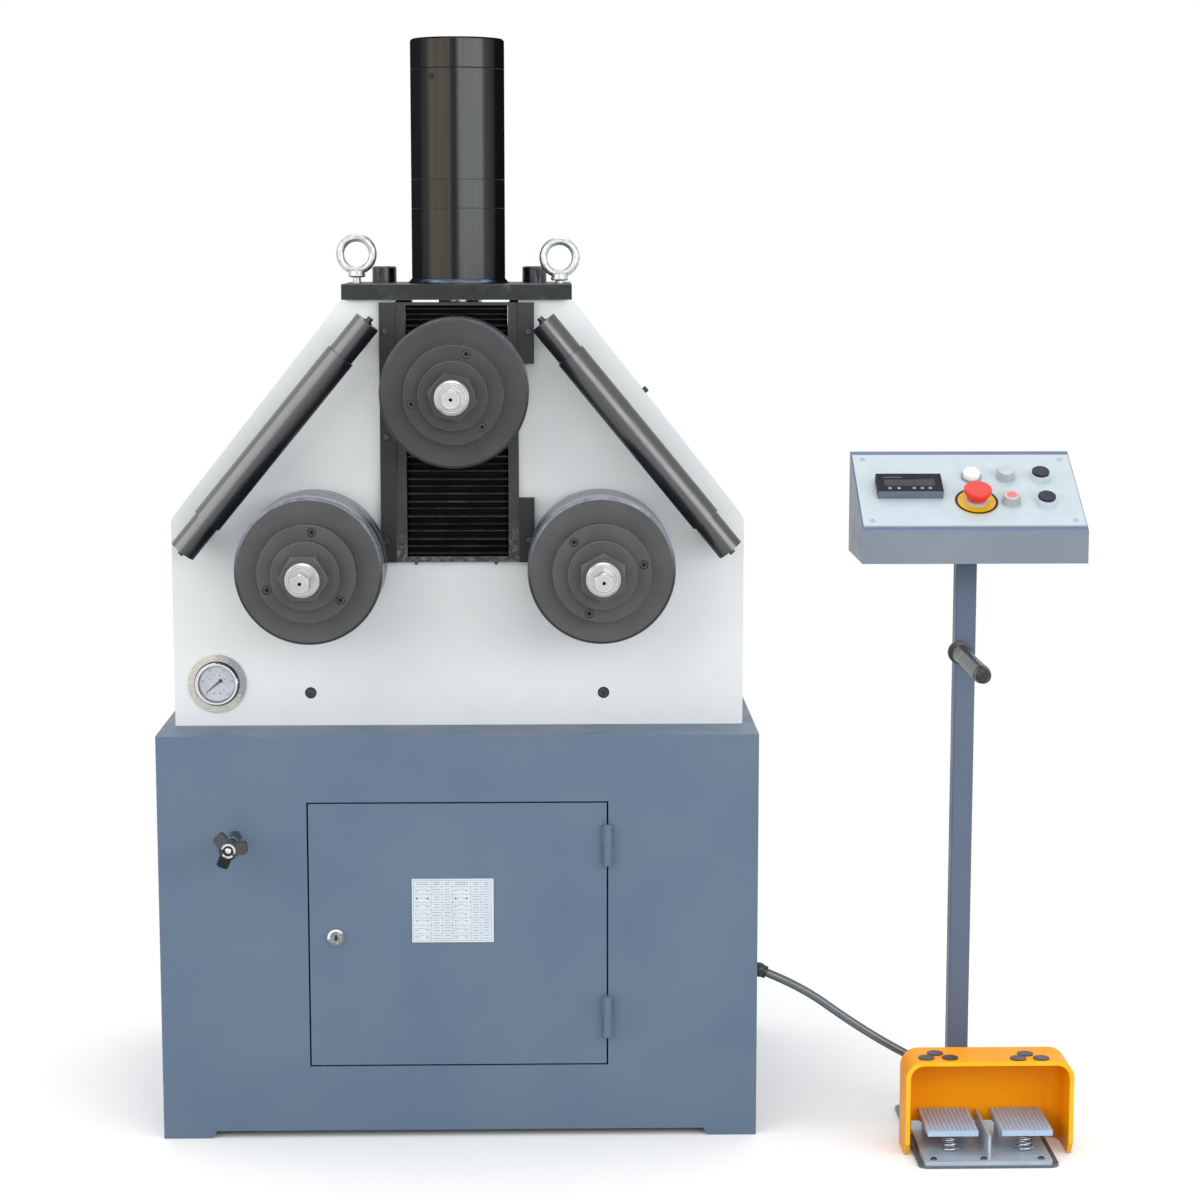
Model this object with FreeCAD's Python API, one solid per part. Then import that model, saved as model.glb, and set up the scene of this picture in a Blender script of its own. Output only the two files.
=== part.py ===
import FreeCAD, Part
import math
import os

os.makedirs("parts", exist_ok=True)
V = FreeCAD.Vector

# Directions.
RIGHT = V(1, 0, 0)
LEFT = V(-1, 0, 0)
FRONT = V(0, -1, 0)
BACK = V(0, 1, 0)
UP = V(0, 0, 1)
DOWN = V(0, 0, -1)

# Clearances, all radial or per side, in mm.
RUNNING = 0.05
SEATED = 0.05
LOOSE = 0.3
SHEET = 4.0

# Cabinet. The origin is the centre of its footprint on the floor.
CABINET_HALF_X = 433.0
CABINET_HALF_Y = 280.0
CABINET_TOP = 597.0
CABINET_LID = 8.0
CABINET_BEND = 3.0
FOOT_HEIGHT = 11.0
FOOT_LENGTH = 77.5
FOOT_DEPTH = 75.0
FOOT_SLANT = 6.5
FLOOR_TOP = 15.0
ANCHOR_INSET = 38.0
ANCHOR_HOLE = 14.0

# Louvred panel in the cabinet's back.
BACK_MARGIN = 58.0
BACK_OPENING_Z = (80.0, 520.0)
BACK_PANEL = 2.5
BACK_PANEL_LAP = 14.0
LOUVRES = 10
LOUVRE_PITCH = 14.0
LOUVRE_GAP = 5.0
LOUVRE_LENGTH = 140.0
LOUVRE_X = 180.0
LOUVRE_BOTTOM = 150.0

# Door, hung on two barrel hinges at its right edge.
DOOR_LEFT = -216.0
DOOR_RIGHT = 213.5
DOOR_BOTTOM = 110.0
DOOR_TOP = 497.5
DOOR_GAP = 2.5
DOOR_RETURN = 18.0
DOOR_SHEET = 3.0
DOOR_STOP = 14.0
HINGE_BARREL = 13.0
HINGE_PIN = 6.0
HINGE_LENGTH = 60.0
HINGE_BOTTOMS = (152.0, 407.0)
HINGE_STANDOFF = 7.0
HINGE_TAB = (2.5, 8.0)
CHART_X = (-68.0, 50.0)
CHART_Z = (293.0, 387.0)
CHART_PLATE = 1.5
LATCH_X = -178.0
LATCH_Z = 301.0
LATCH_BARREL = 18.0
LATCH_FLANGE = 25.0
LATCH_RIM = 4.0
CAM_WIDTH = 18.0
CAM_REACH = 52.0

# Head: two upright plates with sheet covers between them.
HEAD_FRONT = -194.0
HEAD_DEPTH = 220.0
HEAD_BACK = HEAD_FRONT + HEAD_DEPTH
FRONT_PLATE = 30.0
REAR_PLATE = 25.0
HEAD_HALF = CABINET_HALF_X - 18.0
SHOULDER_Z = 901.0
SHOULDER_RADIUS = 25.0
HEAD_TOP_HALF = 165.0
HEAD_TOP = 1216.0
TOP_PLATE = 22.0
TOP_PLATE_CORNER = 15.0
TOP_PLATE_LIP = 10.0
BASE_PLATE = 20.0
HEAD_BOLT_INSET = 75.0
HEAD_BOLT_Y = (-135.0, -28.0)
WEB = (460.0, 25.0, 53.0)
TIE_BLOCK_INSET = 5.0
TIE_BLOCK_HEIGHT = 66.0
TIE_BOLT = 24.0
TIE_BOLT_X = HEAD_TOP_HALF - 53.5
TIE_BOLT_Y = -44.0
PLATE_SCREWS = ((-217.0, 48.0), (211.0, 47.0))
COVER_SCREW_X = 272.0
COVER_SCREW_Y = -120.0
EYE_X = HEAD_TOP_HALF - 16.5
EYE_Y = -104.0
EYE_RING = 23.8
EYE_WIRE = 5.9
EYE_SHANK = 12.0
EYE_HEIGHTS = (42.5, 37.5)
AXIS_Y = -84.0
PLATE_INNER = HEAD_FRONT + FRONT_PLATE
REAR_INNER = HEAD_BACK - REAR_PLATE
PLATE_TOP = HEAD_TOP + TOP_PLATE
BEARING = 120.0
BEARING_FLANGE = 152.0
BEARING_FLANGE_DEPTH = 16.0

# Slide slot and its gibs.
SLOT_HALF = 88.5
SLOT_BOTTOM = 838.0
GIB_INNER = 73.5
GIB_PROUD = 8.0
STRIP_OUTER = 111.0
STRIP_PROUD = 12.0
FRAME_TOP = HEAD_TOP - 3.5
RAIL = 8.0
TOP_RAIL = 4.0
RAIL_SCREWS = (-61.0, 55.0)
RAIL_SCREW = 3.0
RAIL_SCREW_DROP = 2.2
STRIP_SCREW_X = STRIP_OUTER - 9.0
STRIP_SCREWS = ((-1, 869.0), (-1, 1020.0), (-1, 1171.0), (1, 870.0), (1, 1171.0))
STRIP_BREAK = (931.5, 1125.0)
BELLOWS_DEPTH = 16.0
BELLOWS_SHEET = 2.0

# Rolls.
ROLL_DIAMETER = 208.0
ROLL_SPACING = 410.0
LOWER_Z = 842.5
UPPER_Z = 1090.0
ROLL_FRONT = -344.0
RING_WIDTHS = (30.0, 40.0, 42.0)
SPACER = 5.0
SPACER_DIAMETER = 184.0
SEAT = 60.0
JOURNAL = 70.0
SHOULDER = 84.0
SPINDLE = 48.0
SPINDLE_FRONT = -444.0
DISC_DIAMETER = 138.0
DISC = 30.0
WASHER_DIAMETER = 96.0
WASHER = 22.0
NUT_FLATS = 60.0
NUT = 30.0
DRIVE_FLATS = 25.0
DRIVE = 36.0
KEY = 14.0
SLIDE_HALF_HEIGHT = 85.0
SLIDE_COVER_HALF = 70.0
SLIDE_BODY_HALF = 100.0
SLIDE_BEARING = 110.0
SCREW_CIRCLE = 59.0

# Spur gears behind the rear plate.
MODULE = 5.0
GEAR_TEETH = 54
PINION_TEETH = 28
GEAR_FRONT = 36.0
GEAR_WIDTH = 45.0
PINION_SHAFT = 45.0
BACKLASH = 0.3
GEAR_COVER_BACK = 110.0
GEAR_COVER_SHEET = 5.0
GEAR_COVER_MARGIN = 15.0
GEAR_COVER_CORNER = 90.0

# Gear motor behind the cover: a worm reducer with its motor upright on it.
REDUCER_HALF = 85.0
REDUCER_HEIGHT = 190.0
REDUCER_DEPTH = 160.0
MOTOR_Y = GEAR_COVER_BACK + 82.0
MOTOR_FLANGE = 160.0
MOTOR_BODY = 128.0
MOTOR_COWL = 152.0
MOTOR_LENGTH = 178.0
MOTOR_FINS = 24

# Press cylinder.
BARREL = 137.0
BORE = 110.0
BARREL_LENGTH = 308.0
BARREL_TOP = PLATE_TOP + BARREL_LENGTH
CYLINDER_CAP = 44.0
CYLINDER_TOP = BARREL_TOP + CYLINDER_CAP
CAP_SPIGOT = 14.0
ROD = 60.0
ROD_SPIGOT = 40.0
PISTON = 40.0
PISTON_GAP = 8.0
GLAND = 24.0
PORT_BOSS = 28.0
PORTS = ((-25.0, BARREL_TOP - 26.0), (25.0, PLATE_TOP + 32.0))
PIPE = 12.0
PIPE_X = 130.0
PIPE_Y = 125.0
PIPE_HOLE = 22.0
PIPE_RUN_Y = 72.0
PIPE_BENDS = (30.0, 40.0, 40.0)

# Inclined guide rollers.
GUIDE_TOP = (HEAD_TOP_HALF - 41.1, HEAD_TOP - 30.0)
GUIDE_FOOT = (HEAD_HALF - 23.8, SHOULDER_Z - 39.8)
GUIDE_STANDOFF = 60.0
GUIDE_TUBE = 44.0
GUIDE_COLLAR = 39.0
GUIDE_AXLE = 20.0
GUIDE_SCREW = 6.0
GUIDE_WASHER = 2.0
GUIDE_TOP_COLLAR = 60.0
GUIDE_FOOT_COLLAR = 56.0

# Pressure gauge.
GAUGE_X = -HEAD_HALF + 62.0
GAUGE_Z = 659.5
GAUGE_FLANGE = 85.0
GAUGE_BEZEL = 63.0
GAUGE_DIAL = 55.0
GAUGE_PROUD = 9.0
GAUGE_DEPTH = 8.0
NEEDLE_ANGLE = 220.0

# Flow control valve on the cabinet front.
VALVE_X = -CABINET_HALF_X + 112.0
VALVE_Z = 450.0
VALVE_HOLE = 14.0
VALVE_BODY = 16.0
VALVE_NUT = 17.0
VALVE_SPINDLE = 8.0
KNOB_FACE = 89.0
KNOB_LOBES = (8.0, 128.0, 248.0)
KNOB_HUB = 27.0
KNOB_REACH = 26.0
KNOB_LOBE = 17.0
KNOB_ROUND = 4.0
KNOB_DEPTH = 16.0
KNOB_INSERT = 21.0

# Tank, pump and electrics inside the cabinet.
TANK_HALF = 230.0
TANK_DEPTH = 250.0
TANK_TOP = 410.0
TANK_LID = 10.0
PUMP_MOTOR = 132.0
MANIFOLD = 64.0
MANIFOLD_HEIGHT = 120.0
ELECTRICS = (129.0, 310.0, 420.0)

# Console and its stand.
CONSOLE_X = 736.0
CONSOLE_HALF = 160.75
CONSOLE_FRONT = -304.0
CONSOLE_BACK = -134.0
CONSOLE_BOTTOM = 846.0
CONSOLE_FRONT_TOP = 893.0
CONSOLE_BACK_TOP = 992.0
CONSOLE_SHEET = 2.5
PANEL = 3.0
PANEL_EDGES = (9.0, 13.0)
PANEL_RIM = 17.0
PANEL_SCREW = (14.0, 12.0)
PANEL_SIDE = 2.0
METER = (94.0, 44.0, 13.0)
METER_BODY = (88.0, 40.0, 34.0)
METER_WINDOW = (74.0, 17.0, 1.2)
METER_WINDOW_LOW = 14.0
METER_KEYS = (-30.0, -17.0, 5.0, 16.5, 28.0)
METER_X = CONSOLE_X - 85.0
METER_S = 96.0
CONTROL = 22.0
ROWS = (66.0, 127.0)
COLUMNS = (CONSOLE_X + 9.0, CONSOLE_X + 58.5, CONSOLE_X + 109.5)
CAPS = (24.0, 25.5)
CAPS_PROUD = (5.0, 3.5)
PRESS = 3.0
STEM = 16.0
BEZEL = 8.0
BEZEL_FLOOR = 1.5
STOP_DISC = 62.0
STOP_HEAD = 40.0
COLUMN_X = CONSOLE_X + 4.0
COLUMN_Y = -190.0
COLUMN = 30.0
COLUMN_WALL = 2.5
COLUMN_BEND = 2.5
HANDLE_X = COLUMN_X - 9.0
HANDLE_Z = 704.0
GRIP_END = -424.0

# Foot pedal.
BASE_X = (CONSOLE_X - 84.0, CONSOLE_X + 116.0)
BASE_Y = (-431.5, -160.0)
BASE = 4.0
TRAY_X = (BASE_X[0] + 8.0, BASE_X[1] - 10.0)
TRAY_Y = (-430.0, -226.0)
TRAY = 6.0
PAD_Y = (-404.0, -301.0)
PAD_Z = (38.0, 46.0)
PAD_WIDTH = 72.0
PAD_X = (TRAY_X[0] + 43.5, TRAY_X[1] - 32.5)
PAD_RIBS = 11
PEDAL_PIVOT_Z = 30.0
PEDAL_PIN = 6.0
HINGE_Y = PAD_Y[1] - 8.0
DIVIDER_X = sum(PAD_X) / 2 - 3.5
DIVIDER = 4.0
DIVIDER_TOP = 44.0
SPRING_Y = -379.0
SPRING_WIRE = 2.4
SPRING_TURNS = 4.0
SPRING_WIDE = 12.0
SPRING_SLIM = 6.2
GUARD_X = (BASE_X[0] - 13.7, BASE_X[1] + 27.0)
GUARD_Y = (-384.0, -293.0)
GUARD_TOP = 141.3
GUARD_WALL = 6.5
GUARD_CORNER = 26.0
GUARD_FLOOR = 1.0
GUARD_TOE = (12.0, 19.0)
GUARD_ARCH = 26.0
GUARD_LUG = (26.0, 24.0, 4.0)
PLUG = 23.0
PLUG_HOLE = 15.6
PLUGS = ((30.9, 18.5), (64.6, 17.8), (46.2, 39.3), (161.7, 13.2), (194.8, 13.4), (175.5, 34.0))

# Conduit from the cabinet to the console column.
CONDUIT = 12.5
CONDUIT_Y = -190.0
CONDUIT_ROUTE = ((453.3, 219.4), (505.0, 198.0), (580.0, 143.0), (652.0, 98.0), (700.0, 74.0))
CONDUIT_EXIT_Z = 223.5
CONDUIT_END_Z = 68.5
CONDUIT_HOLE = 16.0
GLAND_FLANGE = 24.0
GLAND_BALL = 22.0
GLAND_STEM = 13.0


def block(x, y, z):
    size = V(x[1] - x[0], y[1] - y[0], z[1] - z[0])
    return Part.makeBox(size.x, size.y, size.z, V(x[0], y[0], z[0]))


def rod(point, axis, diameter, length):
    return Part.makeCylinder(diameter / 2, length, point, axis)


def ring(point, axis, outer, inner, length):
    return rod(point, axis, outer, length).cut(rod(point, axis, inner, length))


def aim(shape, point, axis):
    turned = shape.copy()
    turned.Placement = FreeCAD.Placement(point, FreeCAD.Rotation(UP, axis))
    return turned


def extrude(points, direction):
    wire = Part.makePolygon(list(points) + [points[0]])
    return Part.Face(wire).extrude(direction)


def hexagon(point, axis, flats, length, turn):
    reach = flats / 2 / math.cos(math.pi / 6)
    angles = [math.radians(turn + 60 * i) for i in range(6)]
    corners = [V(reach * math.cos(a), reach * math.sin(a), 0) for a in angles]
    return aim(extrude(corners, V(0, 0, length)), point, axis)


def hexagon_front(x, y, z, flats, length, turn):
    # A hexagonal prism along Y, turned from the vertical as seen from the front.
    reach = flats / 2 / math.cos(math.pi / 6)
    angles = [math.radians(turn + 60 * i) for i in range(6)]
    corners = [V(x + reach * math.cos(a), y, z + reach * math.sin(a)) for a in angles]
    return extrude(corners, V(0, length, 0))


def lathe(profile, point, axis):
    # profile holds (radius, height) pairs; height runs along the axis.
    corners = [V(r, 0, h) for r, h in profile]
    wire = Part.makePolygon(corners + [corners[0]])
    return aim(Part.Face(wire).revolve(V(0, 0, 0), UP, 360), point, axis)


def edges_at(shape, test):
    return [e for e in shape.Edges if all(test(v.Point) for v in e.Vertexes)]


def near(a, b):
    return abs(a - b) < 0.01


def along(shape, direction):
    # The straight edges that run along a direction.
    return [e for e in shape.Edges if near(abs(e.tangentAt(0).dot(direction)), 1)]


def fuse(shapes):
    joined = shapes[0]
    for shape in shapes[1:]:
        joined = joined.fuse(shape)
    return joined.removeSplitter()


def cut(shape, tools):
    for tool in tools:
        shape = shape.cut(tool)
    return shape


def cap_screw(point, axis, thread, grip):
    # Socket head cap screw whose head seats on the point and stands along the axis.
    side = 0.75 * thread
    profile = [(0, 0), (side, 0), (side, 0.92 * thread), (0.67 * thread, thread), (0, thread)]
    head = lathe(profile, point, axis)
    socket = hexagon(point + axis * (0.5 * thread), axis, 0.78 * thread, thread, 0)
    return head.fuse(rod(point, axis * -1, thread, grip)).cut(socket)


def button_screw(point, axis, thread, grip):
    profile = [(0, 0), (0.95 * thread, 0), (0.75 * thread, 0.5 * thread), (0, 0.5 * thread)]
    head = lathe(profile, point, axis)
    slot = hexagon(point + axis * (0.25 * thread), axis, 0.6 * thread, thread, 0)
    return head.fuse(rod(point, axis * -1, thread, grip)).cut(slot)


def screw_hole(point, axis, thread, grip):
    return rod(point + axis * 1.0, axis * -1, thread + 2 * LOOSE, grip + 2.0)


def tube_along(points, diameter, bends):
    # Straight runs joined by tangent arcs.
    runs = [(points[i + 1] - points[i]) for i in range(len(points) - 1)]
    pieces = []
    start = points[0]
    for i in range(1, len(points) - 1):
        before = V(runs[i - 1]).normalize()
        after = V(runs[i]).normalize()
        turn = before.getAngle(after)
        trim = bends[i - 1] * math.tan(turn / 2)
        entry = points[i] - before * trim
        leave = points[i] + after * trim
        middle_way = (after - before).normalize()
        crown = bends[i - 1] / math.cos(turn / 2) - bends[i - 1]
        crest = points[i] + middle_way * crown
        pieces.append(Part.makeLine(start, entry))
        pieces.append(Part.Arc(entry, crest, leave).toShape())
        start = leave
    pieces.append(Part.makeLine(start, points[-1]))
    path = Part.Wire(pieces)
    section = Part.Wire([Part.makeCircle(diameter / 2, points[0], V(runs[0]).normalize())])
    swept = path.makePipeShell([section], True, True)
    return swept, path.Length


def cord_bends(points):
    radii = []
    for i in range(1, len(points) - 1):
        before = points[i] - points[i - 1]
        after = points[i + 1] - points[i]
        shorter = min(before.Length, after.Length)
        radii.append(0.45 * shorter / math.tan(before.getAngle(after) / 2))
    return radii


def involute(angle):
    return math.tan(angle) - angle


def gear(teeth, width, point, phase):
    # Involute spur gear along Y; phase is the angle of its first tooth from +X.
    pressure = math.radians(20)
    pitch = MODULE * teeth / 2
    base = pitch * math.cos(pressure)
    tip = pitch + MODULE
    root = pitch - 1.25 * MODULE
    thickness = math.pi * MODULE / 2 - BACKLASH
    levels = [max(base, root), pitch - 0.35 * MODULE, pitch, pitch + 0.5 * MODULE, tip]
    flank = [(root, None)] + [(r, math.acos(base / r)) for r in levels]
    half_at_pitch = thickness / 2 / pitch
    outline = []
    for tooth in range(teeth):
        middle = phase + 2 * math.pi * tooth / teeth
        sides = []
        for radius, angle in flank:
            if angle is None:
                half = half_at_pitch + involute(pressure) + 0.012
            else:
                half = half_at_pitch + involute(pressure) - involute(angle)
            sides.append((radius, half))
        outline += [(r, middle - h) for r, h in sides]
        outline += [(r, middle + h) for r, h in reversed(sides)]
    corners = [V(point.x + r * math.cos(a), point.y, point.z + r * math.sin(a)) for r, a in outline]
    return extrude(corners, V(0, width, 0))


nodes = {}


def save(name, solids):
    pieces = []
    for shape in solids:
        pieces += shape.Solids
    nodes[name] = pieces


# ---------------------------------------------------------------- cabinet
outer = block((-CABINET_HALF_X, CABINET_HALF_X), (-CABINET_HALF_Y, CABINET_HALF_Y), (0, CABINET_TOP))
inner = block(
    (-CABINET_HALF_X + SHEET, CABINET_HALF_X - SHEET),
    (-CABINET_HALF_Y + SHEET, CABINET_HALF_Y - SHEET),
    (FLOOR_TOP, CABINET_TOP - CABINET_LID),
)
outer = outer.makeFillet(CABINET_BEND, along(outer, UP))
gap_x = CABINET_HALF_X - FOOT_LENGTH
gap_y = CABINET_HALF_Y - FOOT_DEPTH
before = -CABINET_HALF_Y - 1
under_x = extrude(
    [
        V(-gap_x - FOOT_SLANT, before, -1),
        V(gap_x + FOOT_SLANT, before, -1),
        V(gap_x, before, FOOT_HEIGHT),
        V(-gap_x, before, FOOT_HEIGHT),
    ],
    V(0, 2 * CABINET_HALF_Y + 2, 0),
)
under_y = block((-CABINET_HALF_X - 1, CABINET_HALF_X + 1), (-gap_y, gap_y), (-1, FOOT_HEIGHT))
door_opening = block(
    (DOOR_LEFT - DOOR_GAP, DOOR_RIGHT + DOOR_GAP),
    (-CABINET_HALF_Y - 1, -CABINET_HALF_Y + SHEET + 1),
    (DOOR_BOTTOM - DOOR_GAP, DOOR_TOP + DOOR_GAP),
)
back_half = CABINET_HALF_X - BACK_MARGIN
back_opening = block(
    (-back_half, back_half), (CABINET_HALF_Y - SHEET - 1, CABINET_HALF_Y + 1), BACK_OPENING_Z
)
anchor_x = CABINET_HALF_X - ANCHOR_INSET
anchor_y = CABINET_HALF_Y - ANCHOR_INSET
anchors = [
    rod(V(sx * anchor_x, sy * anchor_y, -1), UP, ANCHOR_HOLE, FLOOR_TOP + 2)
    for sx in (-1, 1)
    for sy in (-1, 1)
]
lid_under = CABINET_TOP - CABINET_LID
pipe_holes = [
    rod(V(s * PIPE_X, PIPE_Y, lid_under - 1), UP, PIPE_HOLE, CABINET_LID + 2) for s in (-1, 1)
]
exit_inside = V(CABINET_HALF_X - SHEET - 1, CONDUIT_Y, CONDUIT_EXIT_Z)
conduit_hole = rod(exit_inside, RIGHT, CONDUIT_HOLE, SHEET + 2)
valve_hole = rod(V(VALVE_X, -CABINET_HALF_Y - 1, VALVE_Z), BACK, VALVE_HOLE, SHEET + 2)
shell = cut(outer, [inner, under_x, under_y, door_opening, back_opening, conduit_hole, valve_hole])
shell = cut(shell, anchors + pipe_holes)
stop_bar = block(
    (DOOR_LEFT - DOOR_STOP - 4, DOOR_LEFT - 4),
    (-CABINET_HALF_Y + SHEET - 0.5, -CABINET_HALF_Y + DOOR_RETURN),
    (DOOR_BOTTOM, DOOR_TOP),
)
hinge_x = DOOR_RIGHT + DOOR_GAP / 2
hinge_y = -CABINET_HALF_Y - HINGE_STANDOFF
half = HINGE_LENGTH / 2
fixed_halves = []
door_halves = []
for bottom in HINGE_BOTTOMS:
    lower = rod(V(hinge_x, hinge_y, bottom), UP, HINGE_BARREL, half)
    weld = block(
        (hinge_x + HINGE_TAB[0], hinge_x + HINGE_TAB[1]),
        (hinge_y, -CABINET_HALF_Y + 0.5),
        (bottom + 2, bottom + half - 2),
    )
    pin = rod(V(hinge_x, hinge_y, bottom), UP, HINGE_PIN, HINGE_LENGTH - 8)
    fixed_halves += [lower, weld, pin]
    upper = rod(V(hinge_x, hinge_y, bottom + half + 0.4), UP, HINGE_BARREL, half - 0.4)
    upper_weld = block(
        (hinge_x - HINGE_TAB[1], hinge_x - HINGE_TAB[0]),
        (hinge_y, -CABINET_HALF_Y + 0.5),
        (bottom + half + 2, bottom + HINGE_LENGTH - 2),
    )
    pin_hole = rod(V(hinge_x, hinge_y, bottom + half - 1), UP, HINGE_PIN + 2 * RUNNING, half - 6)
    door_halves.append((upper, upper_weld, pin_hole))
shell = fuse([shell, stop_bar] + fixed_halves)

back_panel = block(
    (-back_half - BACK_PANEL_LAP, back_half + BACK_PANEL_LAP),
    (CABINET_HALF_Y, CABINET_HALF_Y + BACK_PANEL),
    (BACK_OPENING_Z[0] - BACK_PANEL_LAP, BACK_OPENING_Z[1] + BACK_PANEL_LAP),
)
louvres = []
for row in range(LOUVRES):
    low_z = LOUVRE_BOTTOM + LOUVRE_PITCH * row
    for centre in (-LOUVRE_X, LOUVRE_X):
        span = (centre - LOUVRE_LENGTH / 2, centre + LOUVRE_LENGTH / 2)
        through = (CABINET_HALF_Y - 1, CABINET_HALF_Y + BACK_PANEL + 1)
        louvres.append(block(span, through, (low_z, low_z + LOUVRE_GAP)))
screw_line = BACK_PANEL_LAP / 2
back_screws = [
    V(sx * (back_half + screw_line), CABINET_HALF_Y + BACK_PANEL, z)
    for sx in (-1, 1)
    for z in (BACK_OPENING_Z[0] - screw_line, sum(BACK_OPENING_Z) / 2, BACK_OPENING_Z[1] + screw_line)
]
for point in back_screws:
    shell = shell.cut(screw_hole(point, BACK, 5, 8))
    back_panel = back_panel.cut(screw_hole(point, BACK, 5, 8))
back_panel = cut(back_panel, louvres)
head_bolts = [
    V(sx * (HEAD_HALF - HEAD_BOLT_INSET), y, CABINET_TOP - CABINET_LID)
    for sx in (-1, 1)
    for y in HEAD_BOLT_Y
]
for point in head_bolts:
    shell = shell.cut(screw_hole(point, DOWN, 12, 24))
save("cabinet_shell", [shell, back_panel])

door = block(
    (DOOR_LEFT, DOOR_RIGHT), (-CABINET_HALF_Y, -CABINET_HALF_Y + DOOR_RETURN), (DOOR_BOTTOM, DOOR_TOP)
)
door_hollow = block(
    (DOOR_LEFT + DOOR_SHEET, DOOR_RIGHT - DOOR_SHEET),
    (-CABINET_HALF_Y + DOOR_SHEET, -CABINET_HALF_Y + DOOR_RETURN + 1),
    (DOOR_BOTTOM + DOOR_SHEET, DOOR_TOP - DOOR_SHEET),
)
door = door.cut(door_hollow)
for barrel, tab, hole in door_halves:
    door = fuse([door, barrel, tab]).cut(hole)
door_face = -CABINET_HALF_Y
latch_centre = V(LATCH_X, door_face, LATCH_Z)
barrel_hole = LATCH_BARREL + 2 * RUNNING
door = door.cut(rod(latch_centre + FRONT, BACK, barrel_hole, DOOR_SHEET + 2))
save("cabinet_door", [door])
save("chart_plate", [block(CHART_X, (door_face - CHART_PLATE, door_face), CHART_Z)])

cam_gap = 0.6
cam_y = door_face + DOOR_RETURN + cam_gap
half_cam = CAM_WIDTH / 2
latch = fuse(
    [
        rod(latch_centre + FRONT * (LATCH_RIM + 0.1), BACK, LATCH_FLANGE, LATCH_RIM),
        rod(latch_centre + FRONT, BACK, LATCH_BARREL, DOOR_RETURN + cam_gap + 1),
        block(
            (LATCH_X - half_cam, LATCH_X + half_cam),
            (cam_y, cam_y + LATCH_RIM),
            (LATCH_Z - CAM_REACH, LATCH_Z + half_cam),
        ),
    ]
)
slot_y = (door_face - LATCH_RIM - 1, door_face - LATCH_RIM / 2)
key_slot = fuse(
    [
        block((LATCH_X - 1.5, LATCH_X + 1.5), slot_y, (LATCH_Z - 5, LATCH_Z + 5)),
        rod(V(LATCH_X, slot_y[0], LATCH_Z), BACK, 6, 3),
    ]
)
save("door_latch", [latch.cut(key_slot)])

# ---------------------------------------------------------------- head
def head_outline(inset):
    # The head's outline, inset by a sheet's thickness; base at the cabinet top.
    slope = V(HEAD_HALF - HEAD_TOP_HALF, 0, HEAD_TOP - SHOULDER_Z)
    lift = inset * (slope.Length - slope.z) / slope.x
    rise = HEAD_TOP - SHOULDER_Z
    top_half = HEAD_TOP_HALF - inset * slope.Length / rise
    shoulder = SHOULDER_Z - lift
    return [
        V(-HEAD_HALF + inset, 0, CABINET_TOP),
        V(HEAD_HALF - inset, 0, CABINET_TOP),
        V(HEAD_HALF - inset, 0, shoulder),
        V(top_half, 0, HEAD_TOP),
        V(-top_half, 0, HEAD_TOP),
        V(-HEAD_HALF + inset, 0, shoulder),
    ], shoulder


def head_prism(inset, y, depth, radius):
    corners, shoulder = head_outline(inset)
    solid = extrude([V(p.x, y, p.z) for p in corners], V(0, depth, 0))
    bends = edges_at(solid, lambda p: near(p.z, shoulder) and near(abs(p.x), HEAD_HALF - inset))
    long_bends = [e for e in bends if e.Length > depth - 1]
    return solid.makeFillet(radius, long_bends)


slot_tool = block((-SLOT_HALF, SLOT_HALF), (HEAD_FRONT - 1, HEAD_BACK + 1), (SLOT_BOTTOM, HEAD_TOP + 1))
front_plate = head_prism(0, HEAD_FRONT, FRONT_PLATE, SHOULDER_RADIUS).cut(slot_tool)
rear_plate = head_prism(0, REAR_INNER, REAR_PLATE, SHOULDER_RADIUS).cut(slot_tool)
roll_x = ROLL_SPACING / 2
for x in (-roll_x, roll_x):
    seat = rod(V(x, HEAD_FRONT - 1, LOWER_Z), BACK, BEARING, HEAD_DEPTH + 2)
    front_plate = front_plate.cut(seat)
    rear_plate = rear_plate.cut(seat)
front_plate = front_plate.cut(rod(V(GAUGE_X, HEAD_FRONT - 1, GAUGE_Z), BACK, 58, FRONT_PLATE + 2))

screws = []
plate_screws = [V(x, HEAD_FRONT + 11, CABINET_TOP + lift) for x, lift in PLATE_SCREWS]
for point in plate_screws:
    front_plate = front_plate.cut(rod(point, FRONT, 17, 12)).cut(screw_hole(point, FRONT, 10, 22))
    screws.append(cap_screw(point, FRONT, 10, 18))

base_top = CABINET_TOP + BASE_PLATE
base_plate = block(
    (-HEAD_HALF + SHEET, HEAD_HALF - SHEET), (PLATE_INNER, REAR_INNER), (CABINET_TOP, base_top)
)
for point in head_bolts:
    base_plate = base_plate.cut(screw_hole(point, DOWN, 12, 24))
    screws.append(cap_screw(point, DOWN, 12, 24))
web = block(
    (-WEB[0] / 2, WEB[0] / 2), (PLATE_INNER, PLATE_INNER + WEB[1]), (base_top, base_top + WEB[2])
)
for point in plate_screws:
    web = web.cut(screw_hole(point, FRONT, 10, 22))
tie_inner = SLIDE_BODY_HALF + 0.5
tie_outer = HEAD_TOP_HALF - TIE_BLOCK_INSET
tie_blocks = [
    block(x, (PLATE_INNER, REAR_INNER), (HEAD_TOP - TIE_BLOCK_HEIGHT, HEAD_TOP))
    for x in ((-tie_outer, -tie_inner), (tie_inner, tie_outer))
]

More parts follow.
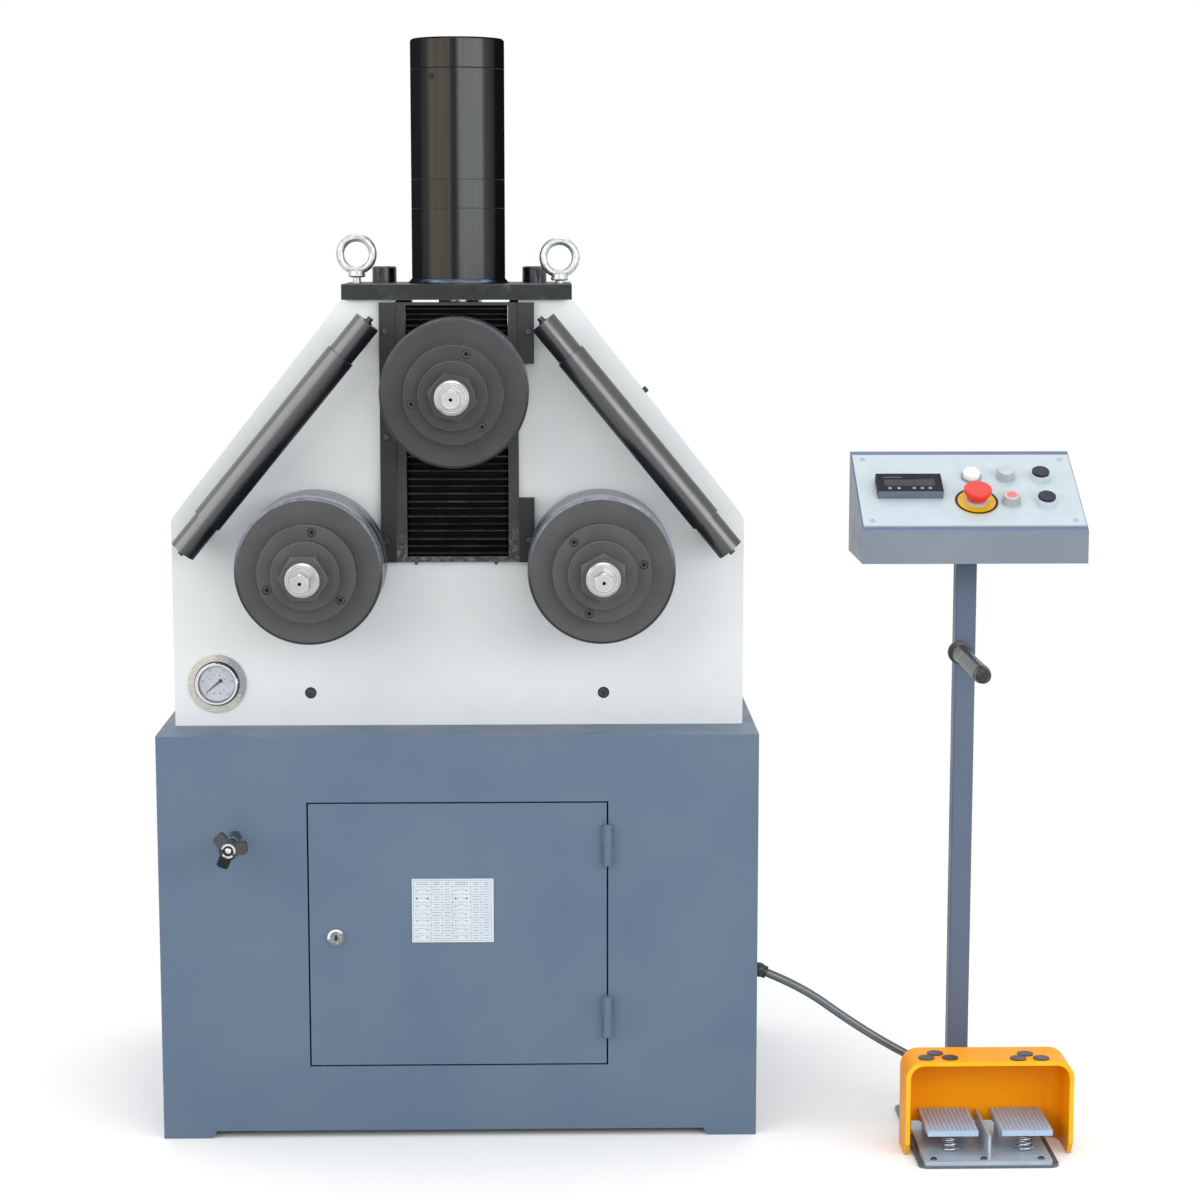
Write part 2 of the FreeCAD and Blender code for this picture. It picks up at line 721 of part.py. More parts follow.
skin_outer = head_prism(0, PLATE_INNER, REAR_INNER - PLATE_INNER, SHOULDER_RADIUS)
skin_inner = head_prism(SHEET, PLATE_INNER, REAR_INNER - PLATE_INNER, SHOULDER_RADIUS - SHEET)
covers = skin_outer.cut(skin_inner)
cover_gap = tie_outer + 0.2
inside = (PLATE_INNER - 1, REAR_INNER + 1)
covers = covers.cut(block((-cover_gap, cover_gap), inside, (CABINET_TOP - 1, HEAD_TOP + 1)))
covers = covers.cut(
    block((-HEAD_HALF + SHEET, HEAD_HALF - SHEET), inside, (CABINET_TOP - 1, CABINET_TOP + 100))
)
slope_normal = V(HEAD_TOP - SHOULDER_Z, 0, HEAD_HALF - HEAD_TOP_HALF).normalize()
rise = (HEAD_TOP - SHOULDER_Z) / (HEAD_HALF - HEAD_TOP_HALF)
cover_z = SHOULDER_Z + (HEAD_HALF - COVER_SCREW_X) * rise
cover_point = V(COVER_SCREW_X, COVER_SCREW_Y, cover_z)
covers = covers.cut(screw_hole(cover_point, slope_normal, 6, 10))
screws.append(cap_screw(cover_point, slope_normal, 6, 9))
save("side_covers", [covers])

top_plate = block(
    (-HEAD_TOP_HALF - 0.5, HEAD_TOP_HALF + 0.5),
    (HEAD_FRONT - TOP_PLATE_LIP, HEAD_BACK),
    (HEAD_TOP, PLATE_TOP),
)
top_plate = top_plate.makeChamfer(TOP_PLATE_CORNER, along(top_plate, UP))
top_plate = top_plate.cut(rod(V(0, AXIS_Y, HEAD_TOP - 1), UP, ROD + 6, TOP_PLATE + 2))
tie_grip = TOP_PLATE + 40
for s in (-1, 1):
    point = V(s * TIE_BOLT_X, TIE_BOLT_Y, PLATE_TOP)
    top_plate = top_plate.cut(screw_hole(point, UP, TIE_BOLT, tie_grip))
    tie_blocks = [b.cut(screw_hole(point, UP, TIE_BOLT, tie_grip + 2)) for b in tie_blocks]
    screws.append(cap_screw(point, UP, TIE_BOLT, tie_grip))

eyes = []
for s, lift in zip((-1, 1), EYE_HEIGHTS):
    x = s * EYE_X
    centre_z = PLATE_TOP + lift
    loop = Part.makeTorus(EYE_RING, EYE_WIRE, V(x, EYE_Y, centre_z), FRONT)
    foot_z = centre_z - EYE_RING - EYE_WIRE
    collar = lathe(
        [(0, 0), (11, 0), (13, 2), (11.5, 9), (7, 13), (0, 13)], V(x, EYE_Y, foot_z - 4), UP
    )
    # The collar's top is trimmed so the eye stays open.
    collar = collar.cut(rod(V(x, EYE_Y - 30, centre_z), BACK, 2 * (EYE_RING - 1.5), 60))
    shank = rod(V(x, EYE_Y, PLATE_TOP - 18), UP, EYE_SHANK, foot_z - PLATE_TOP + 16)
    eyes.append(fuse([loop, collar, shank]))
    top_plate = top_plate.cut(rod(V(x, EYE_Y, PLATE_TOP - 20), UP, EYE_SHANK + 2 * LOOSE, 22))
save("eye_bolts", eyes)
save("top_plate", [top_plate])

# Slide guides.
gibs = []
for s in (-1, 1):
    x = sorted((s * GIB_INNER, s * SLOT_HALF))
    gibs.append(block(x, (HEAD_FRONT - GIB_PROUD, PLATE_INNER), (SLOT_BOTTOM, FRAME_TOP)))
    gibs.append(block(x, (REAR_INNER, HEAD_BACK), (SLOT_BOTTOM, FRAME_TOP)))
strips = []
for s, low, high in (
    (-1, SLOT_BOTTOM, FRAME_TOP),
    (1, SLOT_BOTTOM, STRIP_BREAK[0]),
    (1, STRIP_BREAK[1], FRAME_TOP),
):
    x = sorted((s * SLOT_HALF, s * STRIP_OUTER))
    strips.append(block(x, (HEAD_FRONT - STRIP_PROUD, HEAD_FRONT), (low, high)))
for s, z in STRIP_SCREWS:
    point = V(s * STRIP_SCREW_X, HEAD_FRONT - STRIP_PROUD + 5, z)
    strips = [b.cut(rod(point, FRONT, 10.5, 6)).cut(screw_hole(point, FRONT, 6, 20)) for b in strips]
    front_plate = front_plate.cut(screw_hole(point, FRONT, 6, 20))
    screws.append(cap_screw(point, FRONT, 6, 19))
bellows_y = (HEAD_FRONT - BELLOWS_DEPTH / 2, HEAD_FRONT + BELLOWS_DEPTH / 2)
rails = [
    block((-GIB_INNER, GIB_INNER), (HEAD_FRONT - GIB_PROUD, bellows_y[1] + 2), z)
    for z in ((SLOT_BOTTOM, SLOT_BOTTOM + RAIL), (FRAME_TOP - TOP_RAIL, FRAME_TOP))
]
for x in RAIL_SCREWS:
    point = V(x, HEAD_FRONT, SLOT_BOTTOM - RAIL_SCREW_DROP)
    rails = [b.cut(rod(point, FRONT, 1.9 * RAIL_SCREW + 2 * LOOSE, 9)) for b in rails]
    front_plate = front_plate.cut(screw_hole(point, FRONT, RAIL_SCREW, 10))
    screws.append(button_screw(point, FRONT, RAIL_SCREW, 9))
save("slide_gibs", gibs + strips + rails)

# Slide: a nose in each slot and a wider body between the plates.
low = UPPER_Z - SLIDE_HALF_HEIGHT
high = UPPER_Z + SLIDE_HALF_HEIGHT
nose_half = GIB_INNER - 0.1
nose_front = HEAD_FRONT + 16
nose_back = HEAD_BACK - 4
cover_z = (UPPER_Z - SLIDE_COVER_HALF, UPPER_Z + SLIDE_COVER_HALF)
cover_front = HEAD_FRONT - 6
spigot_depth = 24.0
slide = fuse(
    [
        block((-nose_half, nose_half), (nose_front, nose_back), (low, high)),
        block((-SLIDE_BODY_HALF, SLIDE_BODY_HALF), (PLATE_INNER + 0.2, REAR_INNER - 0.2), (low, high)),
    ]
)
slide = slide.cut(rod(V(0, nose_front - 1, UPPER_Z), BACK, SLIDE_BEARING, nose_back - nose_front + 2))
socket = rod(V(0, AXIS_Y, high - spigot_depth - 1), UP, ROD_SPIGOT + 2 * SEATED, spigot_depth + 2)
slide = slide.cut(socket)
slide_cover = block((-nose_half, nose_half), (cover_front, nose_front), cover_z)
slide_cover = slide_cover.cut(rod(V(0, cover_front - 1, UPPER_Z), BACK, JOURNAL + 2, 24))
save("slide_block", [slide, slide_cover])
slide_rings = [
    ring(V(0, y, UPPER_Z), BACK, SLIDE_BEARING - 2 * SEATED, JOURNAL + 2 * RUNNING, 30)
    for y in (nose_front + 2, nose_back - 34)
]
save("upper_bearings", slide_rings)


def pleats(z_low, z_high, count):
    # A folded sheet between the gibs, front and back folds in turn.
    step = (z_high - z_low) / (2 * count)
    path = []
    for i in range(2 * count + 1):
        y = bellows_y[0] + BELLOWS_SHEET if i % 2 else bellows_y[1] - BELLOWS_SHEET
        path.append((y, z_low + step * i))
    front_side = [V(-GIB_INNER + 0.5, y - BELLOWS_SHEET, z) for y, z in path]
    back_side = [V(-GIB_INNER + 0.5, y + BELLOWS_SHEET, z) for y, z in reversed(path)]
    return extrude(front_side + back_side, V(2 * GIB_INNER - 1, 0, 0))


save("bellows_upper", [pleats(cover_z[1], FRAME_TOP - TOP_RAIL, 6)])
save("bellows_lower", [pleats(SLOT_BOTTOM + RAIL, cover_z[0], 16)])

# ---------------------------------------------------------------- rolls
ring_back = ROLL_FRONT + sum(RING_WIDTHS) + SPACER * (len(RING_WIDTHS) - 1)


def key_block(x, z, y0, y1, diameter, rise, slack):
    top = z + diameter / 2 + rise
    return block((x - KEY / 2 - slack, x + KEY / 2 + slack), (y0, y1), (z + diameter / 2 - 6, top + slack))


def spindle_shaft(x, z, shoulder_back, tail, gear_seat):
    y = SPINDLE_FRONT
    nut_back = ROLL_FRONT - DISC - WASHER
    bevel = 3.0
    profile = [
        (0, y),
        (SPINDLE / 2 - bevel, y),
        (SPINDLE / 2, y + bevel),
        (SPINDLE / 2, nut_back),
        (SEAT / 2, nut_back),
        (SEAT / 2, ring_back),
        (SHOULDER / 2, ring_back),
        (SHOULDER / 2, shoulder_back),
        (JOURNAL / 2, shoulder_back),
    ]
    if gear_seat:
        profile += [(JOURNAL / 2, GEAR_FRONT), (SEAT / 2, GEAR_FRONT), (SEAT / 2, tail), (0, tail)]
    else:
        profile += [(JOURNAL / 2, tail), (0, tail)]
    body = lathe(profile, V(x, 0, z), BACK)
    drive = hexagon_front(x, y - DRIVE, z, DRIVE_FLATS, DRIVE + 1, 30)
    reach = DRIVE_FLATS / 2 + 2.7
    cone = [(0, -1), (reach - 4, -1), (reach, 3), (reach, DRIVE + 2), (0, DRIVE + 2)]
    drive = drive.common(lathe(cone, V(x, y - DRIVE, z), BACK))
    centre = rod(V(x, y - DRIVE - 1, z), BACK, 5, 15)
    ring_key = key_block(x, z, ROLL_FRONT + 2, ring_back - 2, SEAT, 4, 0)
    pieces = [body, drive, ring_key]
    if gear_seat:
        pieces.append(key_block(x, z, GEAR_FRONT + 2, GEAR_FRONT + GEAR_WIDTH - 2, SEAT, 4, 0))
    return fuse(pieces).cut(centre)


def roller_set(x, z, screw_angle, nut_turn, rear_nut):
    solids = []
    bore = rod(V(x, ROLL_FRONT - DISC - WASHER - 1, z), BACK, SEAT + 2 * SEATED, 200)
    groove = key_block(x, z, ROLL_FRONT - 1, ring_back + 1, SEAT, 4, 0.15)
    y = ROLL_FRONT
    radius = ROLL_DIAMETER / 2
    for i, width in enumerate(RING_WIDTHS):
        soft = 4.0 if i == 0 else 1.5
        profile = [
            (0, 0),
            (radius - soft, 0),
            (radius - 0.3 * soft, 0.3 * soft),
            (radius, soft),
            (radius, width - 1.5),
            (radius - 1.5, width),
            (0, width),
        ]
        solids.append(cut(lathe(profile, V(x, y, z), BACK), [bore, groove]))
        y += width
        if i < len(RING_WIDTHS) - 1:
            solids.append(cut(rod(V(x, y, z), BACK, SPACER_DIAMETER, SPACER), [bore, groove]))
            y += SPACER
    disc_front = ROLL_FRONT - DISC
    disc = lathe(
        [(0, 0), (DISC_DIAMETER / 2 - 1, 0), (DISC_DIAMETER / 2, 1), (DISC_DIAMETER / 2, DISC), (0, DISC)],
        V(x, disc_front, z),
        BACK,
    ).cut(bore)
    for i in range(3):
        angle = math.radians(screw_angle + 120 * i)
        across = SCREW_CIRCLE * math.cos(angle)
        point = V(x + across, disc_front + 9, z + SCREW_CIRCLE * math.sin(angle))
        disc = disc.cut(rod(point, FRONT, 13, 10)).cut(screw_hole(point, FRONT, 8, 40))
        solids[0] = solids[0].cut(screw_hole(point, FRONT, 8, 40))
        solids.append(cap_screw(point, FRONT, 8, 38))
    solids.append(disc)
    washer_front = disc_front - WASHER
    washer = lathe(
        [
            (0, 0),
            (WASHER_DIAMETER / 2 - 1, 0),
            (WASHER_DIAMETER / 2, 1),
            (WASHER_DIAMETER / 2, WASHER),
            (0, WASHER),
        ],
        V(x, washer_front, z),
        BACK,
    )
    solids.append(washer.cut(bore))
    nut = hexagon_front(x, washer_front - NUT, z, NUT_FLATS, NUT, nut_turn)
    reach = NUT_FLATS / 2 / math.cos(math.pi / 6)
    bevel = lathe(
        [(0, 0), (NUT_FLATS / 2 - 1, 0), (reach + 1, 4.5), (reach + 1, NUT), (0, NUT)],
        V(x, washer_front - NUT, z),
        BACK,
    )
    nut_bore = rod(V(x, washer_front - NUT - 1, z), BACK, SPINDLE + 2 * SEATED, NUT + 2)
    solids.append(nut.common(bevel).cut(nut_bore))
    if rear_nut:
        point = V(x, GEAR_FRONT + GEAR_WIDTH, z)
        solids.append(ring(point, BACK, 88, SEAT + 2 * SEATED, 12))
    return solids


save("upper_shaft", [spindle_shaft(0, UPPER_Z, cover_front - 1, nose_back - 8, False)])
save("upper_roller_set", roller_set(0, UPPER_Z, 72, 48, False))
flange_front = HEAD_FRONT - BEARING_FLANGE_DEPTH
gear_bore_y = GEAR_FRONT - 1
shaft_end = GEAR_FRONT + GEAR_WIDTH + 17
for name, s, screw_angle, nut_turn in (("left", -1, 82, 0), ("right", 1, 132, 30)):
    x = s * roll_x
    save(name + "_shaft", [spindle_shaft(x, LOWER_Z, flange_front - 1, shaft_end, True)])
    save(name + "_roller_set", roller_set(x, LOWER_Z, screw_angle, nut_turn, True))
    wheel = gear(GEAR_TEETH, GEAR_WIDTH, V(x, GEAR_FRONT, LOWER_Z), math.pi / GEAR_TEETH)
    wheel = wheel.cut(rod(V(x, gear_bore_y, LOWER_Z), BACK, SEAT + 2 * SEATED, GEAR_WIDTH + 2))
    wheel = wheel.cut(key_block(x, LOWER_Z, gear_bore_y, GEAR_FRONT + GEAR_WIDTH + 1, SEAT, 4, 0.15))
    for y in (GEAR_FRONT - 1, GEAR_FRONT + GEAR_WIDTH - 11):
        wheel = wheel.cut(ring(V(x, y, LOWER_Z), BACK, 230, 110, 12))
    save(name + "_gear", [wheel])

pinion = gear(PINION_TEETH, GEAR_WIDTH + 4, V(0, GEAR_FRONT - 2, LOWER_Z), 0)
pinion = fuse([pinion, rod(V(0, GEAR_FRONT - 4, LOWER_Z), BACK, PINION_SHAFT, 174)])
save("drive_pinion", [pinion])

bearings = []
for s in (-1, 1):
    x = s * roll_x
    inner_d = JOURNAL + 2 * RUNNING
    bearings.append(ring(V(x, HEAD_FRONT, LOWER_Z), BACK, BEARING - 2 * SEATED, inner_d, FRONT_PLATE))
    bearings.append(ring(V(x, REAR_INNER, LOWER_Z), BACK, BEARING - 2 * SEATED, inner_d, REAR_PLATE))
    flange = ring(V(x, flange_front, LOWER_Z), BACK, BEARING_FLANGE, JOURNAL + 2, BEARING_FLANGE_DEPTH)
    circle = BEARING_FLANGE / 2 - 9
    for i in range(4):
        angle = math.radians(45 + 90 * i)
        at_z = LOWER_Z + circle * math.sin(angle)
        point = V(x + circle * math.cos(angle), flange_front + 7, at_z)
        flange = flange.cut(rod(point, FRONT, 13, 8)).cut(screw_hole(point, FRONT, 8, 24))
        front_plate = front_plate.cut(screw_hole(point, FRONT, 8, 24))
        screws.append(cap_screw(point, FRONT, 8, 22))
    bearings.append(flange)
save("main_bearings", bearings)
save("front_plate", [front_plate])
save("rear_frame", [rear_plate, base_plate, web] + tie_blocks)

# Gear cover.
gear_tip = MODULE * GEAR_TEETH / 2 + MODULE
cover_half = roll_x + gear_tip + GEAR_COVER_MARGIN
cover_rise = gear_tip + GEAR_COVER_MARGIN
gear_cover = block(
    (-cover_half, cover_half), (HEAD_BACK, GEAR_COVER_BACK), (LOWER_Z - cover_rise, LOWER_Z + cover_rise)
)
gear_cover = gear_cover.makeFillet(GEAR_COVER_CORNER, along(gear_cover, BACK))
hollow_half = cover_half - GEAR_COVER_SHEET
hollow_rise = cover_rise - GEAR_COVER_SHEET
hollow = block(
    (-hollow_half, hollow_half),
    (HEAD_BACK - 1, GEAR_COVER_BACK - GEAR_COVER_SHEET),
    (LOWER_Z - hollow_rise, LOWER_Z + hollow_rise),
)
hollow = hollow.makeFillet(GEAR_COVER_CORNER - GEAR_COVER_SHEET, along(hollow, BACK))
gear_cover = gear_cover.cut(hollow)
behind_gears = V(0, GEAR_COVER_BACK - GEAR_COVER_SHEET - 1, LOWER_Z)
shaft_hole = rod(behind_gears, BACK, PINION_SHAFT + 8, GEAR_COVER_SHEET + 2)
save("gear_cover", [gear_cover.cut(shaft_hole)])

gearbox_top = LOWER_Z + REDUCER_HEIGHT / 2
gearbox = block(
    (-REDUCER_HALF, REDUCER_HALF),
    (GEAR_COVER_BACK, GEAR_COVER_BACK + REDUCER_DEPTH),
    (LOWER_Z - REDUCER_HEIGHT / 2, gearbox_top),
)
gearbox = gearbox.makeFillet(14, along(gearbox, BACK))
fin_x = (MOTOR_BODY / 2 - 4, MOTOR_BODY / 2 + 10)
fin_z = (gearbox_top + 20, gearbox_top + MOTOR_LENGTH + 2)
motor_parts = [
    gearbox,
    rod(V(0, MOTOR_Y, gearbox_top - 1), UP, MOTOR_FLANGE, 13),
    rod(V(0, MOTOR_Y, gearbox_top + 10), UP, MOTOR_BODY, MOTOR_LENGTH),
    rod(V(0, MOTOR_Y, gearbox_top + MOTOR_LENGTH + 8), UP, MOTOR_COWL, 44),
    block((-35, 35), (MOTOR_Y + 50, MOTOR_Y + 86), (gearbox_top + 70, gearbox_top + 150)),
]
for i in range(MOTOR_FINS):
    fin = block(fin_x, (-1.6, 1.6), fin_z)
    fin.rotate(V(0, 0, 0), UP, 360 / MOTOR_FINS * i)
    fin.translate(V(0, MOTOR_Y, 0))
    motor_parts.append(fin)
gear_motor = fuse(motor_parts)
gear_motor = gear_motor.cut(rod(V(0, GEAR_COVER_BACK - 1, LOWER_Z), BACK, PINION_SHAFT + 2 * RUNNING, 100))
save("gear_motor", [gear_motor])

# ---------------------------------------------------------------- cylinder
barrel = rod(V(0, AXIS_Y, PLATE_TOP), UP, BARREL, BARREL_TOP - PLATE_TOP)
outside = BARREL / 2
bead = [(outside - 1, 0), (outside + 6, 0), (outside, 7), (outside - 1, 7)]
weld = lathe(bead, V(0, AXIS_Y, PLATE_TOP), UP)
port_face = AXIS_Y + outside + 8
bosses = [rod(V(x, AXIS_Y + 40, z), BACK, PORT_BOSS, port_face - AXIS_Y - 40) for x, z in PORTS]
barrel = fuse([barrel, weld] + bosses)
barrel = barrel.cut(rod(V(0, AXIS_Y, PLATE_TOP - 1), UP, BORE, BARREL_TOP - PLATE_TOP + 2))
barrel = cut(barrel, [rod(V(x, AXIS_Y + 30, z), BACK, 8, 60) for x, z in PORTS])
save("cylinder_barrel", [barrel])
gland = ring(V(0, AXIS_Y, PLATE_TOP), UP, BORE - 2 * SEATED, ROD + 2 * RUNNING, GLAND)
spigot = BORE / 2 - SEATED
cap = lathe(
    [
        (0, BARREL_TOP - CAP_SPIGOT),
        (spigot, BARREL_TOP - CAP_SPIGOT),
        (spigot, BARREL_TOP),
        (outside - 1.2, BARREL_TOP),
        (outside, BARREL_TOP + 1.2),
        (outside, CYLINDER_TOP - 2.5),
        (outside - 2.5, CYLINDER_TOP),
        (0, CYLINDER_TOP),
    ],
    V(0, AXIS_Y, 0),
    UP,
)
save("cylinder_heads", [gland, cap])
piston_top = BARREL_TOP - CAP_SPIGOT - PISTON_GAP
piston_rod = lathe(
    [
        (0, high - spigot_depth),
        (ROD_SPIGOT / 2, high - spigot_depth),
        (ROD_SPIGOT / 2, high),
        (ROD / 2, high),
        (ROD / 2, piston_top - PISTON),
        (BORE / 2 - RUNNING, piston_top - PISTON),
        (BORE / 2 - RUNNING, piston_top),
        (0, piston_top),
    ],
    V(0, AXIS_Y, 0),
    UP,
)
save("piston_rod", [piston_rod])

# ---------------------------------------------------------------- guide rollers
brackets = []
guide_y = HEAD_FRONT - GUIDE_STANDOFF
for name, s in (("left", -1), ("right", 1)):
    top = V(s * GUIDE_TOP[0], guide_y, GUIDE_TOP[1])
    foot = V(s * GUIDE_FOOT[0], guide_y, GUIDE_FOOT[1])
    way = foot - top
    length = way.Length
    way.normalize()
    axle = rod(top, way, GUIDE_AXLE, length)
    axle_hole = rod(top - way, way, GUIDE_AXLE + 2 * SEATED, length + 2)
    for start, span in ((0, GUIDE_TOP_COLLAR), (length - GUIDE_FOOT_COLLAR, GUIDE_FOOT_COLLAR)):
        collar = rod(top + way * start, way, GUIDE_COLLAR, span)
        post = rod(top + way * (start + span / 2), BACK, 26, GUIDE_STANDOFF)
        brackets.append(fuse([collar, post]).cut(axle_hole))
    for end, outward, washer in ((top, way * -1, GUIDE_WASHER), (foot, way, 0.0)):
        axle = axle.cut(screw_hole(end, outward, GUIDE_SCREW, 14))
        screws.append(cap_screw(end + outward * washer, outward, GUIDE_SCREW, 13))
    screws.append(ring(top, way * -1, 13, GUIDE_SCREW + 2 * LOOSE, GUIDE_WASHER))
    brackets.append(axle)
    tube_start = top + way * (GUIDE_TOP_COLLAR + 0.5)
    tube_length = length - GUIDE_TOP_COLLAR - GUIDE_FOOT_COLLAR - 1
    tube = ring(tube_start, way, GUIDE_TUBE, GUIDE_AXLE + 2 * RUNNING, tube_length)
    save("guide_tube_" + name, [tube])
save("guide_brackets", brackets)

# ---------------------------------------------------------------- gauge
gauge = V(GAUGE_X, HEAD_FRONT, GAUGE_Z)
bezel_front = -GAUGE_PROUD
dial_floor = bezel_front + GAUGE_DEPTH
body = lathe(
    [
        (0, dial_floor),
        (GAUGE_DIAL / 2, dial_floor),
        (GAUGE_DIAL / 2, bezel_front),
        (GAUGE_BEZEL / 2 - 1.5, bezel_front),
        (GAUGE_BEZEL / 2, bezel_front + 1.5),
        (GAUGE_BEZEL / 2, -2.5),
        (GAUGE_FLANGE / 2, -2.5),
        (GAUGE_FLANGE / 2, 0),
        (28.5, 0),
        (28.5, 32),
        (0, 32),
    ],
    gauge,
    BACK,
)
body = fuse([body, rod(gauge + V(0, 31, 0), BACK, 14, 26)])
body = body.cut(rod(gauge + V(0, dial_floor - 1, 0), BACK, 4 + 2 * RUNNING, 6))
for angle in (90, 208, 332):
    turn = math.radians(angle)
    point = V(GAUGE_X + 37 * math.cos(turn), HEAD_FRONT - 2.5, GAUGE_Z + 37 * math.sin(turn))
    body = body.cut(screw_hole(point, FRONT, 3.5, 12))
    nodes["front_plate"] = [nodes["front_plate"][0].cut(screw_hole(point, FRONT, 3.5, 12))]
    screws.append(button_screw(point, FRONT, 3.5, 11))
save("gauge_body", [body])
turn = math.radians(NEEDLE_ANGLE)
way = V(math.cos(turn), 0, math.sin(turn))
across = V(-math.sin(turn), 0, math.cos(turn))
centre = gauge + V(0, dial_floor - 2.5, 0)
hand = extrude(
    [
        centre - way * 9 - across * 2,
        centre + way * 21 - across * 0.5,
        centre + way * 21 + across * 0.5,
        centre - way * 9 + across * 2,
    ],
    V(0, 1.0, 0),
)
needle = fuse([hand, rod(centre + V(0, -0.8, 0), BACK, 8, 1.8), rod(centre, BACK, 4, 6.5)])
save("gauge_needle", [needle])
lens = rod(gauge + V(0, bezel_front + 0.5, 0), BACK, GAUGE_DIAL - 0.1, 2)
save("gauge_lens", [lens])

# ---------------------------------------------------------------- flow valve
panel = -CABINET_HALF_Y
seat = V(VALVE_X, panel, VALVE_Z)
valve = fuse(
    [
        lathe(
            [(0, -34), (VALVE_BODY / 2 - 2, -34), (VALVE_BODY / 2, -32), (VALVE_BODY / 2, 0), (0, 0)],
            seat,
            BACK,
        ),
        hexagon_front(VALVE_X, panel - 8, VALVE_Z, VALVE_NUT, 8, 0),
        rod(seat + FRONT, BACK, VALVE_HOLE - 1, 30),
        block((VALVE_X - 35, VALVE_X + 35), (panel + SHEET + 2, panel + 64), (VALVE_Z - 30, VALVE_Z + 30)),
    ]
)
valve = valve.cut(rod(seat + FRONT * 35, BACK, VALVE_SPINDLE + 2 * RUNNING, 60))
save("flow_valve", [valve])
knob_front = panel - KNOB_FACE
lobe_front = knob_front + 1
lobes = [
    rod(V(VALVE_X, lobe_front, VALVE_Z), BACK, KNOB_HUB, KNOB_DEPTH),
    rod(V(VALVE_X, lobe_front, VALVE_Z), BACK, VALVE_BODY, 30),
]
for angle in KNOB_LOBES:
    arm = block((0, KNOB_REACH), (lobe_front, lobe_front + KNOB_DEPTH), (-KNOB_LOBE / 2, KNOB_LOBE / 2))
    arm = arm.makeFillet(KNOB_ROUND, [e for e in along(arm, BACK) if near(e.BoundBox.XMin, KNOB_REACH)])
    arm.rotate(V(0, 0, 0), FRONT, angle)
    arm.translate(V(VALVE_X, 0, VALVE_Z))
    lobes.append(arm)
knob_centre = V(VALVE_X, knob_front, VALVE_Z)
insert = rod(knob_centre, BACK, KNOB_INSERT, 3)
insert = insert.cut(rod(knob_centre + FRONT, BACK, KNOB_INSERT - 6, 2.4))
knob = fuse(lobes)
knob = knob.cut(rod(knob_centre, BACK, KNOB_INSERT - 6, 1.4))
knob = fuse(
    [
        knob,
        insert,
        lathe([(0, -0.8), (2.4, -0.4), (4, 0.8), (4, 3), (0, 3)], knob_centre, BACK),
        rod(V(VALVE_X, knob_front + 28, VALVE_Z), BACK, VALVE_SPINDLE, KNOB_FACE - 28 + 18),
    ]
)
save("flow_knob", [knob])

# ---------------------------------------------------------------- cabinet equipment
tank = block((-TANK_HALF, TANK_HALF), (0, TANK_DEPTH), (FLOOR_TOP, TANK_TOP))
tank = tank.makeFillet(12, along(tank, UP))
lid_top = TANK_TOP + TANK_LID
lid = block((-TANK_HALF - 10, TANK_HALF + 10), (-8, TANK_DEPTH + 8), (TANK_TOP, lid_top))
pump_motor = fuse(
    [
        rod(V(0, PIPE_Y, lid_top), UP, PUMP_MOTOR + 28, 12),
        rod(V(0, PIPE_Y, lid_top + 11), UP, PUMP_MOTOR, 112),
        rod(V(0, PIPE_Y, lid_top + 120), UP, PUMP_MOTOR + 8, 32),
    ]
)
filler = fuse([rod(V(-200, 40, lid_top), UP, 22, 22), rod(V(-200, 40, lid_top + 20), UP, 40, 16)])
half_block = MANIFOLD / 2
manifold_top = lid_top + MANIFOLD_HEIGHT
manifolds = []
coils = []
for s in (-1, 1):
    centre = s * PIPE_X
    manifolds.append(
        block(
            (centre - half_block, centre + half_block),
            (PIPE_Y - half_block, PIPE_Y + half_block),
            (lid_top, manifold_top),
        )
    )
    face = V(centre + s * half_block, PIPE_Y, lid_top + MANIFOLD_HEIGHT / 2)
    coils.append(rod(face, RIGHT * s, 44, 58))
wall_inside = -CABINET_HALF_X + SHEET
electrics = block(
    (wall_inside, wall_inside + ELECTRICS[0]), (-60, -60 + ELECTRICS[1]), (140, 140 + ELECTRICS[2])
)
save("cabinet_equipment", [tank, lid, pump_motor, filler, electrics] + manifolds + coils)

# Pipes from the cylinder's ports down the back of the head to the valve blocks.
pipes = []
for (x, z), bend_z in zip(PORTS, (HEAD_TOP - 36, HEAD_TOP - 51)):
    side_x = math.copysign(PIPE_X, x)
    nut = hexagon_front(x, port_face, z, 22, 16, 0)
    points = [
        V(x, port_face + 16, z),
        V(x, PIPE_RUN_Y, z),
        V(x, PIPE_RUN_Y, bend_z),
        V(side_x, PIPE_Y, HEAD_TOP - 121),
        V(side_x, PIPE_Y, manifold_top),
    ]
    swept, length = tube_along(points, PIPE, PIPE_BENDS)
    pipes.append(fuse([nut, swept]))
save("hydraulic_pipes", pipes)

# ---------------------------------------------------------------- console
console = extrude(
    [
        V(CONSOLE_X - CONSOLE_HALF, CONSOLE_FRONT, CONSOLE_BOTTOM),
        V(CONSOLE_X - CONSOLE_HALF, CONSOLE_FRONT, CONSOLE_FRONT_TOP),
        V(CONSOLE_X - CONSOLE_HALF, CONSOLE_BACK, CONSOLE_BACK_TOP),
        V(CONSOLE_X - CONSOLE_HALF, CONSOLE_BACK, CONSOLE_BOTTOM),
    ],
    V(2 * CONSOLE_HALF, 0, 0),
)
slope = V(0, CONSOLE_BACK - CONSOLE_FRONT, CONSOLE_BACK_TOP - CONSOLE_FRONT_TOP)
slope_length = slope.Length
slope.normalize()
normal = V(0, -slope.z, slope.y)


def on_panel(x, s, lift):
    # A point by its X, its distance up the slope and its height above the slope.
    return V(x, CONSOLE_FRONT, CONSOLE_FRONT_TOP) + slope * s + normal * lift


